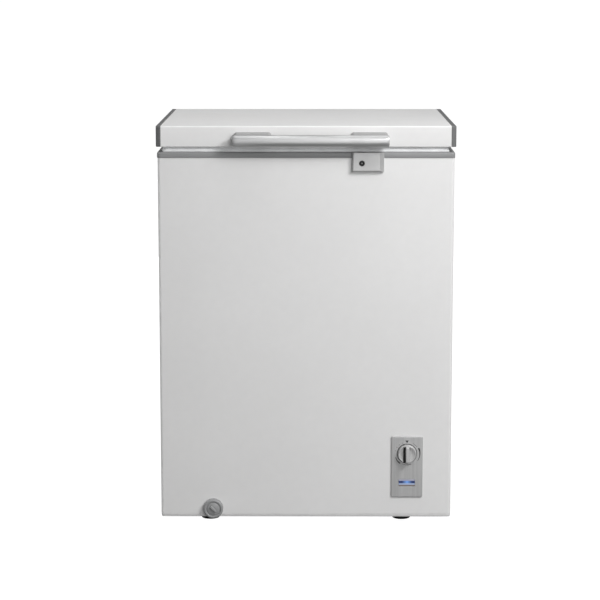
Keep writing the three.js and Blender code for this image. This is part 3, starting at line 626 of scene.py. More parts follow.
MATERIALS = {
    "white_paint": paint_finish("white_paint", grey(0.80, 0.003), 0.42),
    "grey_trim": moulded_finish("grey_trim", grey(0.30, -0.01), 0.42),
    "dark_trim": moulded_finish("dark_trim", grey(0.16, -0.01), 0.6),
    "silver_upright": silver_finish("silver_upright"),
    "silver_plain": moulded_finish("silver_plain", grey(0.56), 0.36, Metallic=0.2,
                                   Coat_Weight=0.15, Coat_Roughness=0.25),
    "silver_shaded": moulded_finish("silver_shaded", grey(0.34), 0.4),
    "silver_lock": moulded_finish("silver_lock", grey(0.50), 0.4, Metallic=0.3),
    "drain_plastic": moulded_finish("drain_plastic", grey(0.33, -0.01), 0.42),
    "white_plastic": moulded_finish("white_plastic", grey(0.7), 0.4, grain=0.015),
    "brushed_aluminium": brushed_metal_finish("brushed_aluminium", grey(0.62, -0.004), 0.46,
                                              (0.012, 1, 1), metallic=0.85),
    "gasket": rubber_finish("gasket", grey(0.9, -0.01), 0.5),
    "liner": stucco_finish("liner", grey(0.80, -0.01)),
    "lid_liner_plastic": moulded_finish("lid_liner_plastic", grey(0.76, -0.004), 0.34, grain=0.01,
                                        grain_scale=300.0, Subsurface_Weight=0.05),
    "pu_foam": foam_finish("pu_foam"),
    "zinc_steel": zinc_finish("zinc_steel", grey(0.56, -0.01)),
    "chrome": brushed_metal_finish("chrome", grey(0.22), 0.3, (1, 1, 0.1), 0.004),
    "black_steel": paint_finish("black_steel", grey(0.018), 0.34),
    "black_plastic": moulded_finish("black_plastic", grey(0.024), 0.5),
    "black_rubber": rubber_finish("black_rubber", grey(0.02)),
    "copper": copper_finish("copper"),
    "indicator_lens": lens_finish("indicator_lens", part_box("indicator_window")),
    "coated_wire": paint_finish("coated_wire", grey(0.76, -0.004), 0.3, peel=0.01),
}


# ---- Fasteners ----

def screw(bm, place, radius):
    """A pan-head screw with a cross recess, its head along +Z of place."""
    tall = radius * 0.55
    dome = []
    for k in range(1, 6):
        angle = math.pi / 2 * k / 5
        dome.append((radius * math.sin(angle), tall * (0.35 + 0.65 * math.cos(angle))))
    head = solid(lathe, [(0, -0.2), (radius, -0.2), *reversed(dome), (0, tall)], sides=20)
    wing = (-radius * 0.58, radius * 0.58)
    slot = (-radius * 0.13, radius * 0.13)
    for x, y in ((wing, slot), (slot, wing)):
        head = combine(head, solid(block, x, y, (tall * 0.35, tall + 1)))
    # Every screw has been driven to an angle of its own.
    head.transform(place @ Matrix.Rotation(0.6 + place.translation.x, 4, "Z"))
    made = bpy.data.meshes.new("screw")
    head.to_mesh(made)
    bm.from_mesh(made)
    head.free()
    bpy.data.meshes.remove(made)


def screws(name, direction, places, body, radius=3.6):
    bm = bmesh.new()
    for place in places:
        screw(bm, facing(direction, place), radius)
    piece(name, bm, "zinc_steel", body)


# ---- Cabinet ----

SHEET = 1.0  # thickness of the painted sheet
FOLD = 0.6  # least thickness where a sheet's edge is folded in
WRAPPER_RADIUS = 6.0
HEM = 5.4  # height of the hem's groove over the wrapper's foot
PLATE_LAP = 5.5  # how far the control plate laps over the edges of its hole


def add_cabinet_shell():
    """The painted wrapper with a hemmed foot, and holes for the control plate and the drain."""
    (left, right), (front, back), (bottom, top) = span("cabinet_shell")

    def side(depth):
        """The wrapper's outline at a depth under its surface, open at the back."""
        corners = [(left + depth, back, 0), (left + depth, front + depth, 0),
                   (right - depth, front + depth, 0), (right - depth, back, 0)]
        return [point.xy for point in route(corners, WRAPPER_RADIUS - depth, FINE)]

    def wrapper(inset, z):
        """The sheet's section at a level, its outside pulled in by the inset."""
        return [Vector((x, y, z)) for x, y in side(inset) + side(max(SHEET, inset + FOLD))[::-1]]

    hem = bottom + HEM
    levels = [(1.7, bottom), (1.2, bottom + 0.3), (0.8, bottom + 2), (0.3, hem - 1.4), (0.1, hem),
              (0.25, hem + 0.2), (0.6, hem + 0.55), (0.6, hem + 1.0), (0.25, hem + 1.35),
              (0, hem + 1.6), (0, top)]
    shell = solid(loft, [wrapper(inset, z) for inset, z in levels])
    plate_x, _, plate_z = span("control_panel")
    shell = combine(shell, solid(
        block, (plate_x[0] + PLATE_LAP, plate_x[1] - PLATE_LAP), (front - 5, front + 5),
        (plate_z[0] + PLATE_LAP, plate_z[1] - 6)))
    cap_x, _, cap_z = span("drain_cap")
    shell = combine(shell, drill(15, 5, facing("front", (middle(cap_x), front, middle(cap_z)))))
    piece("cabinet_wrapper", shell, "white_paint", "cabinet", ["cabinet_shell"], sharp=30)


def frame_ring(x, y, depth, z, radii):
    """A rectangle pulled in by some depth, at a level, with its front and back corner radii."""
    (left, right), (front, back) = x, y
    low, high = radii
    corners = outline((left + depth, front + depth, low), (right - depth, front + depth, low),
                      (right - depth, back - depth, high), (left + depth, back - depth, high))
    return [Vector((a, b, z)) for a, b in corners]


def add_rim():
    """The rim's frame: a rounded outer skirt, a flat top and an inner skirt round the mouth."""
    x, y, (skirt, top) = span("rim_trim")
    low = 783.2
    mouth = 52.3
    # Depth from the outside, level and corner radius, once round the section.
    profile = [
        (0.9, low, 6.4), (0.3, low + 0.2, 7.0), (0, low + 0.8, 7.3), (0, top - 3.4, 7.3),
        (0.25, top - 2.1, 7.1), (0.9, top - 1.0, 6.6), (1.9, top - 0.3, 6), (3.1, top, 5.5),
        (mouth - 2.5, top, 11), (mouth - 1, top - 0.4, 11), (mouth - 0.2, top - 1.4, 11),
        (mouth, top - 2.6, 11), (mouth, skirt + 0.5, 11), (mouth - 0.5, skirt, 11),
        (mouth - 4, skirt, 12), (mouth - 4.6, skirt + 0.6, 12), (mouth - 4.6, top - 3.0, 12),
        (5, top - 3.0, 5), (5, low, 5),
    ]
    rings = [frame_ring(x, y, depth, z, (radius, max(2.0, radius - 4)))
             for depth, z, radius in profile]
    piece("rim_frame", solid(loft, rings, closed=True), "grey_trim", "cabinet", ["rim_trim"])


TUB_X, TUB_Y = (-263.0, 263.0), (-198.0, 220.0)
STEP_X, STEP_TOP = 78.0, 342.0  # where the step over the machine bay starts, and its level
ALL_OVER = (-400, 400)


def add_liner():
    """The tub: deep on the left, shallow over the step, and flanged under the rim."""
    x, y, (floor, top) = span("inner_liner")
    floor += SHEET

    def well(grow, high_x, low):
        """A deep or shallow part of the tub's space, with a rounded floor edge."""
        well_x = (TUB_X[0] - grow, high_x + grow)
        well_y = (TUB_Y[0] - grow, TUB_Y[1] + grow)
        low -= grow
        levels = [(8, low), (4, low + 0.6), (1.6, low + 2.2), (0.4, low + 4.6), (0, low + 8),
                  (0, top + 20)]
        return solid(loft, [level_ring(well_x, well_y, z, 15 + grow - inset * 0.8, inset)
                            for inset, z in levels])

    def tub(grow):
        """The whole of the tub's space, grown on every side."""
        return combine(well(grow, STEP_X, floor), well(grow, TUB_X[1], STEP_TOP), "UNION")

    shell = combine(tub(SHEET), tub(0))
    shell = combine(shell, solid(block, ALL_OVER, ALL_OVER, (top, top + 60)))
    flange = [level_ring(x, y, z, radius, inset) for inset, z, radius in
              ((0, top - 1, 37), (0, top, 37), (21.5, top, 16), (21.5, top - 1, 16))]
    shell = combine(shell, solid(loft, flange, closed=True), "UNION")
    drain_x, drain_y, _ = span("drain_plug")
    shell = combine(shell, drill(11, 20, facing("up", (middle(drain_x), middle(drain_y), floor))))
    piece("tub", shell, "liner", "cabinet", ["inner_liner"], bevel=1.2)


VENTS = 13
VENT_PITCH, VENT_TALL = 16, 7
VENT_FIRST = 56  # height of the lowest vent over the cover's foot
VENT_MARGIN = 15  # from a vent's end to the cover's edge
INLET_FACE = 266  # from where the cord inlet's heights are measured


def add_bay_cover():
    """The machine bay's cover with its vents, their hoods and the cord's inlet."""
    x, y, z = span("rear_grille")
    vent_x = (x[0] + VENT_MARGIN, x[1] - VENT_MARGIN)
    cover = solid(prism, rectangle(x, z, 5), "y", y)
    hoods = bmesh.new()
    for i in range(VENTS):
        low = z[0] + VENT_FIRST + VENT_PITCH * i
        high = low + VENT_TALL
        vent = solid(prism, rectangle(vent_x, (low, high), 2.5), "y", (y[0] - 5, y[1] + 5))
        cover = combine(cover, vent)
        hood = outline((y[1] - 0.6, high + 2.5), (y[1] + 0.4, high + 2.5, 0.3),
                       (y[1] + 3.6, low + 2.2, 0.4), (y[1] + 2.7, low + 1.8, 0.3),
                       (y[1] - 0.6, high + 0.6), steps=3)
        prism(hoods, hood, "x", (vent_x[0] + 1, vent_x[1] - 1))
    inlet_x, _, inlet_z = span("cord_gland")
    across, level = middle(inlet_x), middle(inlet_z)
    cover = combine(cover, drill(8, 10, facing("back", (across, y[0], level))))
    piece("bay_cover", cover, "black_plastic", "cabinet", ["rear_grille"], bevel=0.5)
    piece("bay_cover_louvres", hoods, "black_plastic", "cabinet")

    section = [(4, -5), (4, 5.2), (4.6, 5.6), (9, 5.4), (10.6, 4.2), (11, 2.6), (7.7, 2.5),
               (7.7, -2), (7, -4.6)]
    inlet = solid(lathe, section, facing("back", (across, INLET_FACE, level)), 32, True)
    piece("cord_inlet", inlet, "black_rubber", "cabinet", ["cord_gland"])


def add_rear_screws():
    """Screws round the rear panel and down both sides of the machine bay's cover."""
    x, y, z = span("rear_panel")
    places = [(side, y[1], level) for side in (x[0] + 8, x[1] - 8)
              for level in range(60, 760, 115)]
    places += [(across, y[1], z[1] - 12) for across in (-230, -75, 75, 230)]
    x, y, z = span("rear_grille")
    places += [(side, y[1], level) for side in (x[0] + 6, x[1] - 6)
               for level in (z[0] + 10, middle(z), z[1] - 10)]
    screws("rear_screws", "back", places, "cabinet", 3.2)


COMPRESSOR_Y = 150.0
STUBS = ((240, 60, 110, 4), (190, 64, 150, 5))  # across, outer end, level and radius


def add_compressor():
    """The sealed can with its weld band, base plate, pipe stubs and terminal box."""
    (x0, x1), (_, y1), (low, _) = span("compressor")
    centre = Matrix.Translation((middle((x0, x1)), COMPRESSOR_Y, 0))
    profile = [(0, 45), (58, 45), (64, 47), (69, 51), (73, 58), (75, 68), (75, 117.5), (78, 118.4),
               (78.4, 120), (78.4, 123), (78, 124.6), (75, 125.5), (75, 176), (73, 186), (67, 197),
               (55, 206), (38, 212), (18, 214.7), (0, 215)]
    can = solid(lathe, profile, centre, 64)
    lathe(can, [(0, 34), (30, 34), (30, 50), (0, 50)], centre, 32)
    prism(can, rectangle((x0, x1), (95, 205), 12), "z", (low, low + 2))
    for across, end, level, radius in STUBS:
        sweep(can, [Vector((across, end, level)), Vector((across, COMPRESSOR_Y - 55, level))],
              radius, 16)
    block(can, (190, 236), (COMPRESSOR_Y + 60, y1), (92, 128))
    piece("motor_compressor", can, "black_steel", "cabinet", ["compressor"])

    x, y, z = span("starter_cover")
    cover = solid(prism, rectangle(x, z, 6), "y", y)
    piece("relay_cover", cover, "black_plastic", "cabinet", ["starter_cover"], bevel=2.0)


def add_rubber_mounts():
    for i in range(1, 5):
        x, y, (base, top) = span(f"compressor_grommet_{i}")
        section = [(4, base), (11.4, base), (12, base + 0.6), (12, base + 2), (9.6, base + 4),
                   (8.8, base + 7), (9.6, top - 4), (12, top - 2), (12, top - 0.6), (11.4, top),
                   (4, top)]
        mount = solid(lathe, section, Matrix.Translation((middle(x), middle(y), 0)), 28, True)
        piece(f"rubber_mount_{i}", mount, "black_rubber", "cabinet", [f"compressor_grommet_{i}"])


def add_foot(side):
    """A ribbed rubber foot with a slightly hollow sole."""
    x, y, (_, high) = span(f"front_foot_{side}")
    profile = [(0, 0.4), (6, 0.4), (7, 0), (17.6, 0), (18.6, 0.3), (19, 1.0), (19, 6.5),
               (18.2, 7), (18.2, 8), (19, 8.5), (19, 10.5), (18.2, 11), (18.2, 12), (19, 12.5),
               (19, high), (0, high)]
    foot = solid(lathe, profile, Matrix.Translation((middle(x), middle(y), 0)), 40)
    piece(f"rubber_foot_{side}", foot, "black_rubber", "cabinet", [f"front_foot_{side}"])


BRACKET_FOOT = 12.9  # where the screws' heads bear on the bracket


def add_roller(side):
    """A rubber wheel with a grooved tread, and the screws of its bracket."""
    half = [(2.9, 7), (5, 7), (5.4, 6), (8.4, 6), (9, 7), (10.2, 6.4), (10.8, 5.4), (11, 4.2),
            (11, 1), (10.6, 0.6)]
    profile = [(radius, -height) for radius, height in half] + half[::-1]
    hub = facing("right", [middle(values) for values in span(f"rear_roller_wheel_{side}")])
    piece(f"roller_{side}", solid(lathe, profile, hub, 40, True), "black_rubber",
          f"roller_{side}", [f"rear_roller_wheel_{side}"])
    x, y, _ = span(f"rear_roller_bracket_{side}")
    places = [(across, along, BRACKET_FOOT) for across in (x[0] + 4.5, x[1] - 4.5)
              for along in (y[0] + 5, y[1] - 5)]
    screws(f"bracket_screws_{side}", "down", places, "cabinet", 2.6)


# ---- Lid ----

LID_RADIUS = 3.2


def lid_section(inset, setback):
    """The lid's closed side outline, pulled in all round and set back further at its front."""
    _, (front, back), (low, high) = span("lid_trim_left")
    front += setback
    return outline(
        (front + inset, low + inset, 1.2), (front + inset, high - inset, LID_RADIUS - inset / 2),
        (back - inset, high - inset, 2.0), (back - inset, low + inset, 1.2))


def add_lid_skin():
    """The lid's bent sheet with its flanges turned in below, and the slot for the lock's cam."""
    x, (front, back), (low, high) = span("lid_skin")
    flange = 12
    section = outline(
        (front + flange, low), (front, low, 1.4), (front, high, LID_RADIUS), (back, high, 2.0),
        (back, low, 1.4), (back - flange, low), (back - flange, low + SHEET),
        (back - SHEET, low + SHEET), (back - SHEET, high - SHEET, 1.0),
        (front + SHEET, high - SHEET, LID_RADIUS - SHEET), (front + SHEET, low + SHEET),
        (front + flange, low + SHEET))
    slot = rectangle((111, 146), (front + SHEET, -245.3), 1.2)
    sheet = combine(solid(prism, section, "x", x), solid(prism, slot, "z", (low - 5, low + 3)))
    piece("lid_sheet", sheet, "white_paint", "lid", ["lid_skin"], sharp=30)


def add_lid_trim(side):
    """A side band, rounded at its outer edges and most of all at the front."""
    inner, outer = sorted(span(f"lid_trim_{side}")[0], key=abs)
    sign = math.copysign(1, outer)
    # Inset all round, setback at the front, and place along X.
    steps = [(0.5, 0, inner), (0.12, 0, inner + sign * 0.2), (0, 0, inner + sign * 0.5),
             (0, 0.5, inner + sign * 2.2), (0, 2.2, outer - sign * 1.6),
             (0.2, 2.8, outer - sign * 0.9), (0.65, 3.3, outer - sign * 0.35),
             (1.4, 3.6, outer - sign * 0.08), (2.0, 3.8, outer)]
    rings = [[Vector((at, a, b)) for a, b in lid_section(inset, setback)]
             for inset, setback, at in steps]
    piece(f"lid_band_{side}", solid(loft, rings), "dark_trim", "lid", [f"lid_trim_{side}"],
          sharp=50)


def add_gasket():
    """The magnetic seal: a flat foot, a folded bellows and a magnet pocket."""
    x, y, (low, _) = span("lid_gasket")
    width = 12
    outer = [(0.9, 0), (0.2, 0.3), (0, 1), (0, 4.6), (0.3, 5.2), (0.9, 5.6), (0.9, 6), (0.3, 6.5),
             (0.1, 7.2), (0.1, 9.4), (0.6, 10.1), (1.4, 10.4)]
    section = outer + [(width - depth, height) for depth, height in reversed(outer)]
    rings = [level_ring(x, y, low + height, 9.5 - depth * 0.4, depth) for depth, height in section]
    piece("magnetic_seal", solid(loft, rings, closed=True), "gasket", "lid", ["lid_gasket"],
          sharp=60)


PAN_X, PAN_Y = (-245.0, 245.0), (-178.0, 200.0)  # the part of the lid's pan that plugs the mouth


def add_lid_liner():
    """The lid's inner pan: a flange, a step down to the plug and a raised field."""
    x, y, (low, high) = span("lid_liner")
    flange = high - 2
    below = [(-8, flange, 24), (-3.2, flange - 0.3, 21), (-1.2, flange - 1.2, 20.5),
             (-0.3, flange - 2.6, 20), (0.2, low + 2.6, 20), (0.8, low + 1.3, 20),
             (2, low + 0.4, 19), (4, low, 18), (34, low, 26), (35, low + 0.15, 26),
             (37, low + 0.9, 25), (38.5, low + 1.2, 24), (42, low + 1.2, 22)]
    above = [(42, low + 2, 22), (4, low + 2, 18), (2.4, low + 3, 18), (2.4, high, 18)]
    pan, hollow = ([level_ring(PAN_X, PAN_Y, z, radius, depth) for depth, z, radius in levels]
                   for levels in (below, above))
    rings = [*hollow, level_ring(x, y, high, 6), level_ring(x, y, flange, 6), *pan]
    piece("lid_pan", solid(loft, rings), "lid_liner_plastic", "lid", ["lid_liner"], sharp=50)


# ---- Handle ----

BAR_BOW = 4.0  # how far the bar's ends stand back from its middle
BAR_DEPTH = 12.0
BAR_FULLNESS = 0.8  # below 1, the bar's section is fuller than an ellipse
PEDESTAL_TOP = 833.4


def bar_bow(x):
    """How far the bar's front stands back from its middle, at a place along it."""
    left, right = span("handle_bar")[0]
    return BAR_BOW * ((x - middle((left, right))) / ((right - left) / 2)) ** 2


def add_bar():
    """The bowed pull bar, with a flat back, a full rounded front and eased ends."""
    (left, right), (front, _), (low, high) = span("handle_bar")
    half = (high - low) / 2
    ends = [(0, 0.9), (0.3, 0.35), (0.9, 0)]
    stations = [(left + along, inset) for along, inset in ends]
    stations += [(left + (right - left) * k / 40, 0) for k in range(1, 40)]
    stations += [(right - along, inset) for along, inset in reversed(ends)]

    def section(x, inset):
        back = front + BAR_DEPTH + bar_bow(x) - inset
        points = []
        for k in range(37):
            angle = math.radians(-90 + 5 * k)
            reach = (BAR_DEPTH - 2 * inset) * max(0.0, math.cos(angle)) ** BAR_FULLNESS
            height = math.copysign(abs(math.sin(angle)) ** BAR_FULLNESS, math.sin(angle))
            points.append(Vector((x, back - reach, middle((low, high)) + (half - inset) * height)))
        return points

    bar = solid(loft, [section(x, inset) for x, inset in stations])
    piece("pull_bar", bar, "brushed_aluminium", "lid", ["handle_bar"], sharp=45)


def add_pedestal(side):
    """A bar mount that flares at its foot and follows the bar's bow at its end."""
    (x0, x1), (_, back), (z0, z1) = span(f"handle_mount_{side}")
    front = span("handle_bar")[1][0] + BAR_DEPTH + 0.3
    rings = []
    for step in range(6):
        share = step / 5
        top = z1 + (PEDESTAL_TOP - z1) * share
        flare = 1.5 * (1 - share) ** 2
        left, right = x0 - flare + 1.5, x1 + flare - 1.5
        face = outline((left, z0, 2), (right, z0, 2), (right, top, 5.5), (left, top, 5.5))
        rings.append([Vector((a, back + (front + bar_bow(a) - back) * share, b)) for a, b in face])
    piece(f"pedestal_{side}", solid(loft, rings), "silver_shaded", "lid", [f"handle_mount_{side}"],
          bevel=0.8)


# ---- Lock ----

LOCK_BACK = -245.6  # where the case meets the cabinet's front
LOCK_WALL = 2.5
LOCK_ROOM = (98, 160)  # the hollow's range along X
BEHIND_LOCK = -240
CAM_ROOM, CAM_LEVELS = (105, 158), (790, 800)
SLEEVE_RADIUS = 8.5


def add_lock_case(at):
    """The hollow case with chamfered sides and foot, round a sleeve for the cylinder."""
    (x0, x1), (front, rear), (z0, z1) = span("lock_housing")
    case = solid(prism, outline((x0, LOCK_BACK), (x0, front + 5), (x0 + 3, front),
                                (x1 - 9, front, 2), (x1, front + 6, 2), (x1, LOCK_BACK)),
                 "z", (z0, z1))
    under = outline((front - 1, z0 + 4.2), (front + 5, z0), (front + 5, z0 - 1),
                    (front - 1, z0 - 1))
    case = combine(case, solid(prism, under, "x", (x0 - 1, x1 + 1)))
    left, right = LOCK_ROOM
    hollow = outline((left, BEHIND_LOCK), (left, front + LOCK_WALL), (152.5, front + LOCK_WALL),
                     (right, front + 7.2), (right, BEHIND_LOCK))
    case = combine(case, solid(prism, hollow, "z", (z0 + LOCK_WALL, z1 - LOCK_WALL)))
    # Below the rim, the case's edge reaches further back, to the sheet.
    edge = solid(block, (x0 + 0.01, x1 - 0.01), (LOCK_BACK - 1, rear), (z0 + 0.01, 782.5))
    case = combine(case, edge, "UNION")
    case = combine(case, solid(block, LOCK_ROOM, (-250, BEHIND_LOCK), (z0 + LOCK_WALL, 780)))
    tail = front + 250
    sleeve = solid(lathe, [(0, tail), (SLEEVE_RADIUS, tail), (SLEEVE_RADIUS, -1), (0, -1)], at)
    case = combine(case, sleeve, "UNION")
    seat = solid(lathe, [(0, -30), (5.8, -30), (5.8, -0.9), (7.2, 0.2), (7.2, 5), (0, 5)], at)
    case = combine(case, seat)
    case = combine(case, solid(block, CAM_ROOM, (-248.9, BEHIND_LOCK), CAM_LEVELS))
    piece("lock_case", case, "silver_lock", "cabinet", ["lock_housing"], bevel=0.7)


def add_lock():
    """The lock's case, and its cylinder with a black face round the key's core."""
    x, (_, rear), z = span("lock_cylinder")
    front = span("lock_housing")[1][0]
    at = facing("front", (middle(x), front, middle(z)))
    add_lock_case(at)
    face, slot, inner = 0.4, -4, front - rear
    profile = [(0, inner), (5.5, inner), (5.5, face - 0.5), (5.3, face - 0.1), (5.0, face),
               (4.4, face), (4.2, face - 0.3), (4.2, slot), (1.9, slot), (1.9, face - 0.4),
               (1.6, face - 0.2), (0, face - 0.2)]
    cylinder = piece("key_cylinder", solid(lathe, profile, at, 48), "chrome", "lock",
                     ["lock_cylinder"], sharp=40)
    blacken(cylinder, at, lambda spot: spot.xy.length > 1.8)


# ---- Control panel ----

def add_controls():
    """The control plate with its raised field, the indicator window, the dial and the knob."""
    x, (face, back), z = span("control_panel")
    knob_x, _, knob_z = span("thermostat_knob")
    axis = (middle(knob_x), middle(knob_z))
    at = facing("front", (axis[0], face, axis[1]))
    levels = [(0, back), (0, face + 1.2), (0.3, face + 0.9), (1.0, face + 0.8), (2.3, face)]
    plate = solid(loft, [[Vector((a, depth, b)) for a, b in rectangle(
        (x[0] + inset, x[1] - inset), (z[0] + inset, z[1] - inset), 4 - inset / 2)]
        for inset, depth in levels])
    window_x, window_y, window_z = span("indicator_window")
    opening = rectangle((window_x[0] - 0.3, window_x[1] + 0.3),
                        (window_z[0] - 0.3, window_z[1] + 0.3), 0.8)
    plate = combine(plate, solid(prism, opening, "y", (face - 5, back + 5)))
    plate = combine(plate, drill(3.6, 10, at))
    recess = solid(lathe, [(0, -0.6), (21.2, -0.6), (21.8, 0.4), (0, 0.4)], at, 64)
    plate = combine(plate, recess)
    piece("control_plate", plate, "silver_upright", "cabinet", ["control_panel"], bevel=0.6)

    lens = solid(prism, rectangle(window_x, window_z, 0.6), "y", window_y)
    piece("indicator_lens", lens, "indicator_lens", "cabinet", ["indicator_window"], bevel=0.3)
    add_dial_print_and_shade_ring(axis, face)
    add_knob(axis)


ARCS = (  # start and end in degrees, radius, and the width at either end
    (197, 236, 25.6, 0.8, 2.6), (242, 292, 24.6, 0.4, 1.2), (-36, 26, 27.4, 0.6, 3.4),
    (34, 62, 25.4, 0.8, 0.5),
)
DOTS = (112, 130, 148, 166)  # degrees


def add_dial_print_and_shade_ring(axis, face):
    """A triangle over the knob, a scale that widens to the right around it, and a black ring of
    painted shade round the knob.
    """
    bm = bmesh.new()
    thick = (face - 0.06, face + 0.3)
    centre = Vector(axis)

    def spoke(degrees, reach):
        angle = math.radians(degrees)
        return centre + Vector((reach * math.cos(angle), reach * math.sin(angle)))

    prism(bm, [centre + Vector(point) for point in ((-3.4, 28.6), (3.4, 28.6), (0, 22.4))],
          "y", thick)
    for start, end, radius, first, last in ARCS:
        inner, outer = [], []
        for k in range(29):
            degrees = start + (end - start) * k / 28
            width = first + (last - first) * k / 28
            inner.append(spoke(degrees, radius - width / 2))
            outer.append(spoke(degrees, radius + width / 2))
        prism(bm, inner + outer[::-1], "y", thick)
    for degrees in DOTS:
        dot = spoke(degrees, 25)
        prism(bm, [dot + Vector((0.7 * math.cos(k * math.pi / 6), 0.7 * math.sin(k * math.pi / 6)))
                   for k in range(12)], "y", thick)
    # Painted shade: a black ring down in the recess round the knob, where the gap falls into shade.
    lathe(bm, [(20.2, 0.5), (21.1, 0.5), (21.1, 0.2), (20.2, 0.2)],
          facing("front", (axis[0], face + 0.8, axis[1])), 64, True)
    piece("dial_print_and_shade_ring", bm, "black_plastic", "cabinet")


GRIP_WALL = -3.3  # where the grip's upright side stands
GROOVE_WIDTH = 5.2


def add_knob(axis):
    """A dished disc with a raised rim, a tall wedge-sided grip across it, and a groove painted
    black as shade beside the grip.
    """
    (x0, x1), (front, back), _ = span("thermostat_knob")
    at = facing("front", (axis[0], back, axis[1]))
    radius = (x1 - x0) / 2
    tall = back - front
    rim = [(0.5, 0), (0, 0.5), (0, 2.4), (0.4, 3), (1.1, 8.2), (1.5, 9.0), (2.2, 9.4), (3.0, 9.2),
           (3.8, 8.6), (7, 6.5), (10, 5.5), (12, 5.3)]
    disc = [(0, 5), (3.3, 5), (3.3, 0), *inward(radius, rim), (0, 5.6)]
    groove = solid(prism, rectangle((GRIP_WALL - GROOVE_WIDTH, GRIP_WALL), (-19, 16.6), 2), "z",
                   (0.8, 10))
    groove.transform(at)
    body = combine(solid(lathe, disc, at, 72), groove)

    def grip_ring(height):
        """The grip's outline at a height: upright on the left, sloping on the right."""
        share = height / tall
        long = radius - 1.8 - 2.4 * share ** 3
        return rectangle((GRIP_WALL + 0.8 * share, 7.6 - 4.4 * share ** 0.8), (-long, long), 1.8)

    heights = (0.9, 5, 8, 11, 14, tall - 1.2, tall - 0.45)
    levels = [(height, grip_ring(height)) for height in heights]
    levels.append((tall, rectangle((GRIP_WALL + 1.4, 2.6), (-14.2, 14.2), 1.6)))
    grip = [[at @ Vector((a, b, height)) for a, b in ring] for height, ring in levels]
    body = combine(body, solid(loft, grip), "UNION")
    knob = piece("dial_knob", body, "silver_plain", "thermostat_knob", ["thermostat_knob"],
                 bevel=0.35)
    # Painted shade: the groove's faces beside the grip's upright side get black plastic.
    painted_shade_x = (GRIP_WALL - GROOVE_WIDTH - 0.2, GRIP_WALL + 0.1)
    blacken(knob, at, lambda spot: painted_shade_x[0] < spot.x < painted_shade_x[1] and abs(spot.y) < 19.2
            and spot.z < 5.2)


# ---- Drain ----

CAP_BACK = -244.0  # from where the cap's heights are measured
RIBS = 36


def add_drain_cap():
    """The cap: a ribbed drum with a ringed face and a slanting grip."""
    (x0, x1), _, z = span("drain_cap")
    at = facing("front", (middle((x0, x1)), CAP_BACK, middle(z)))
    radius = (x1 - x0) / 2
    rim = [(0.3, 0.4), (0, 0.8), (0, 8.4), (0.3, 9.6), (1.1, 10.7), (2.4, 11.5), (4.2, 11.8),
           (4.8, 11.5), (5.2, 11.0), (5.8, 10.2), (7.6, 10.2), (8.2, 11.2), (9, 11.6)]
    profile = [(0, 8), (10.4, 8), (10.4, -7), (13, -7), (13, 0.4), *inward(radius, rim), (0, 11.8)]
    slant = at @ Matrix.Rotation(math.radians(45), 4, "Z")
    grip = [[slant @ Vector((a, b, height))
             for a, b in outline((-half, -long, 1.2), (half * 0.7, -long, 1.2),
                                 (half * 1.5, long, 2), (-half * 1.5, long, 2))]
            for half, long, height in ((2.9, 8.6, 10), (2.6, 8.2, 13.4), (2.1, 7.8, 14.4),
                                       (1.5, 7.2, 15))]
    cap = combine(solid(lathe, profile, at, 72), solid(loft, grip), "UNION")
    for k in range(RIBS):
        place = (at @ Matrix.Rotation(2 * math.pi * k / RIBS, 4, "Z")
                 @ Matrix.Translation((radius + 0.35, 0, 0)))
        cap = combine(cap, solid(lathe, [(0, 2.4), (0.75, 2.4), (0.75, 8.6), (0, 9.4)], place, 8))
    piece("drain_knob", cap, "drain_plastic", "drain_cap", ["drain_cap"], sharp=40)


def add_drain_plug():
    """The bung in the tub's floor, with a groove round it and a tab to lift it by."""
    x, y, _ = span("drain_plug")
    place = Matrix.Translation((middle(x), middle(y), 0))
    profile = [(0, 56), (9.4, 56.4), (10.5, 58), (10.5, 61), (9.9, 61.4), (9.9, 62.4),
               (10.5, 62.8), (10.5, 65.3), (15.4, 65.3), (16, 65.9), (15.6, 67.6), (14, 68.9),
               (12, 69), (0, 69)]
    tab = solid(prism, outline((-7, 66), (7, 66), (7, 82, 6), (-7, 82, 6)), "y", (-2, 2))
    tab.transform(place)
    bung = combine(solid(lathe, profile, place, 40), tab, "UNION")
    piece("drain_bung", bung, "drain_plastic", "drain_plug", ["drain_plug"], bevel=0.4)


# ---- Hinges ----

PIVOT = (274.0, 800.0)
RIM_BACK, RIM_FOOT = 267.6, 782.9  # the rim's edge, with a little room round it
ARM_BACK = 273.3  # where the screws' heads bear on the arm
PIN_HALF = [(0, 26.5), (3.4, 26.5), (4.2, 25.9), (4.2, 24.6), (2.5, 24.4)]
COIL_RADIUS, COIL_HALF, COIL_TURNS, COIL_WIRE = 3.9, 12.5, 6.5, 0.8
COIL_STEPS = 20  # points in one turn


def add_hinge_cap(side):
    """The hinge's cover: a hollow case that clears the rim."""
    x, y, z = span(f"hinge_cover_{side}")
    centre = middle(x)
    shape = outline((y[0], z[0]), (y[1] - 5, z[0], 3), (y[1], z[0] + 9, 6), (y[1], z[1], 5),
                    (y[0], z[1]))
    case = solid(prism, shape, "x", x)
    for half, back, low in ((29.5, y[1] - 2.5, z[0] + 2.5), (40, RIM_BACK, RIM_FOOT)):
        room = solid(block, (centre - half, centre + half), (250, back), (low, PIVOT[1]))
        case = combine(case, room)
    piece(f"hinge_cap_{side}", case, "white_plastic", "cabinet", [f"hinge_cover_{side}"], bevel=1.1)
    return centre


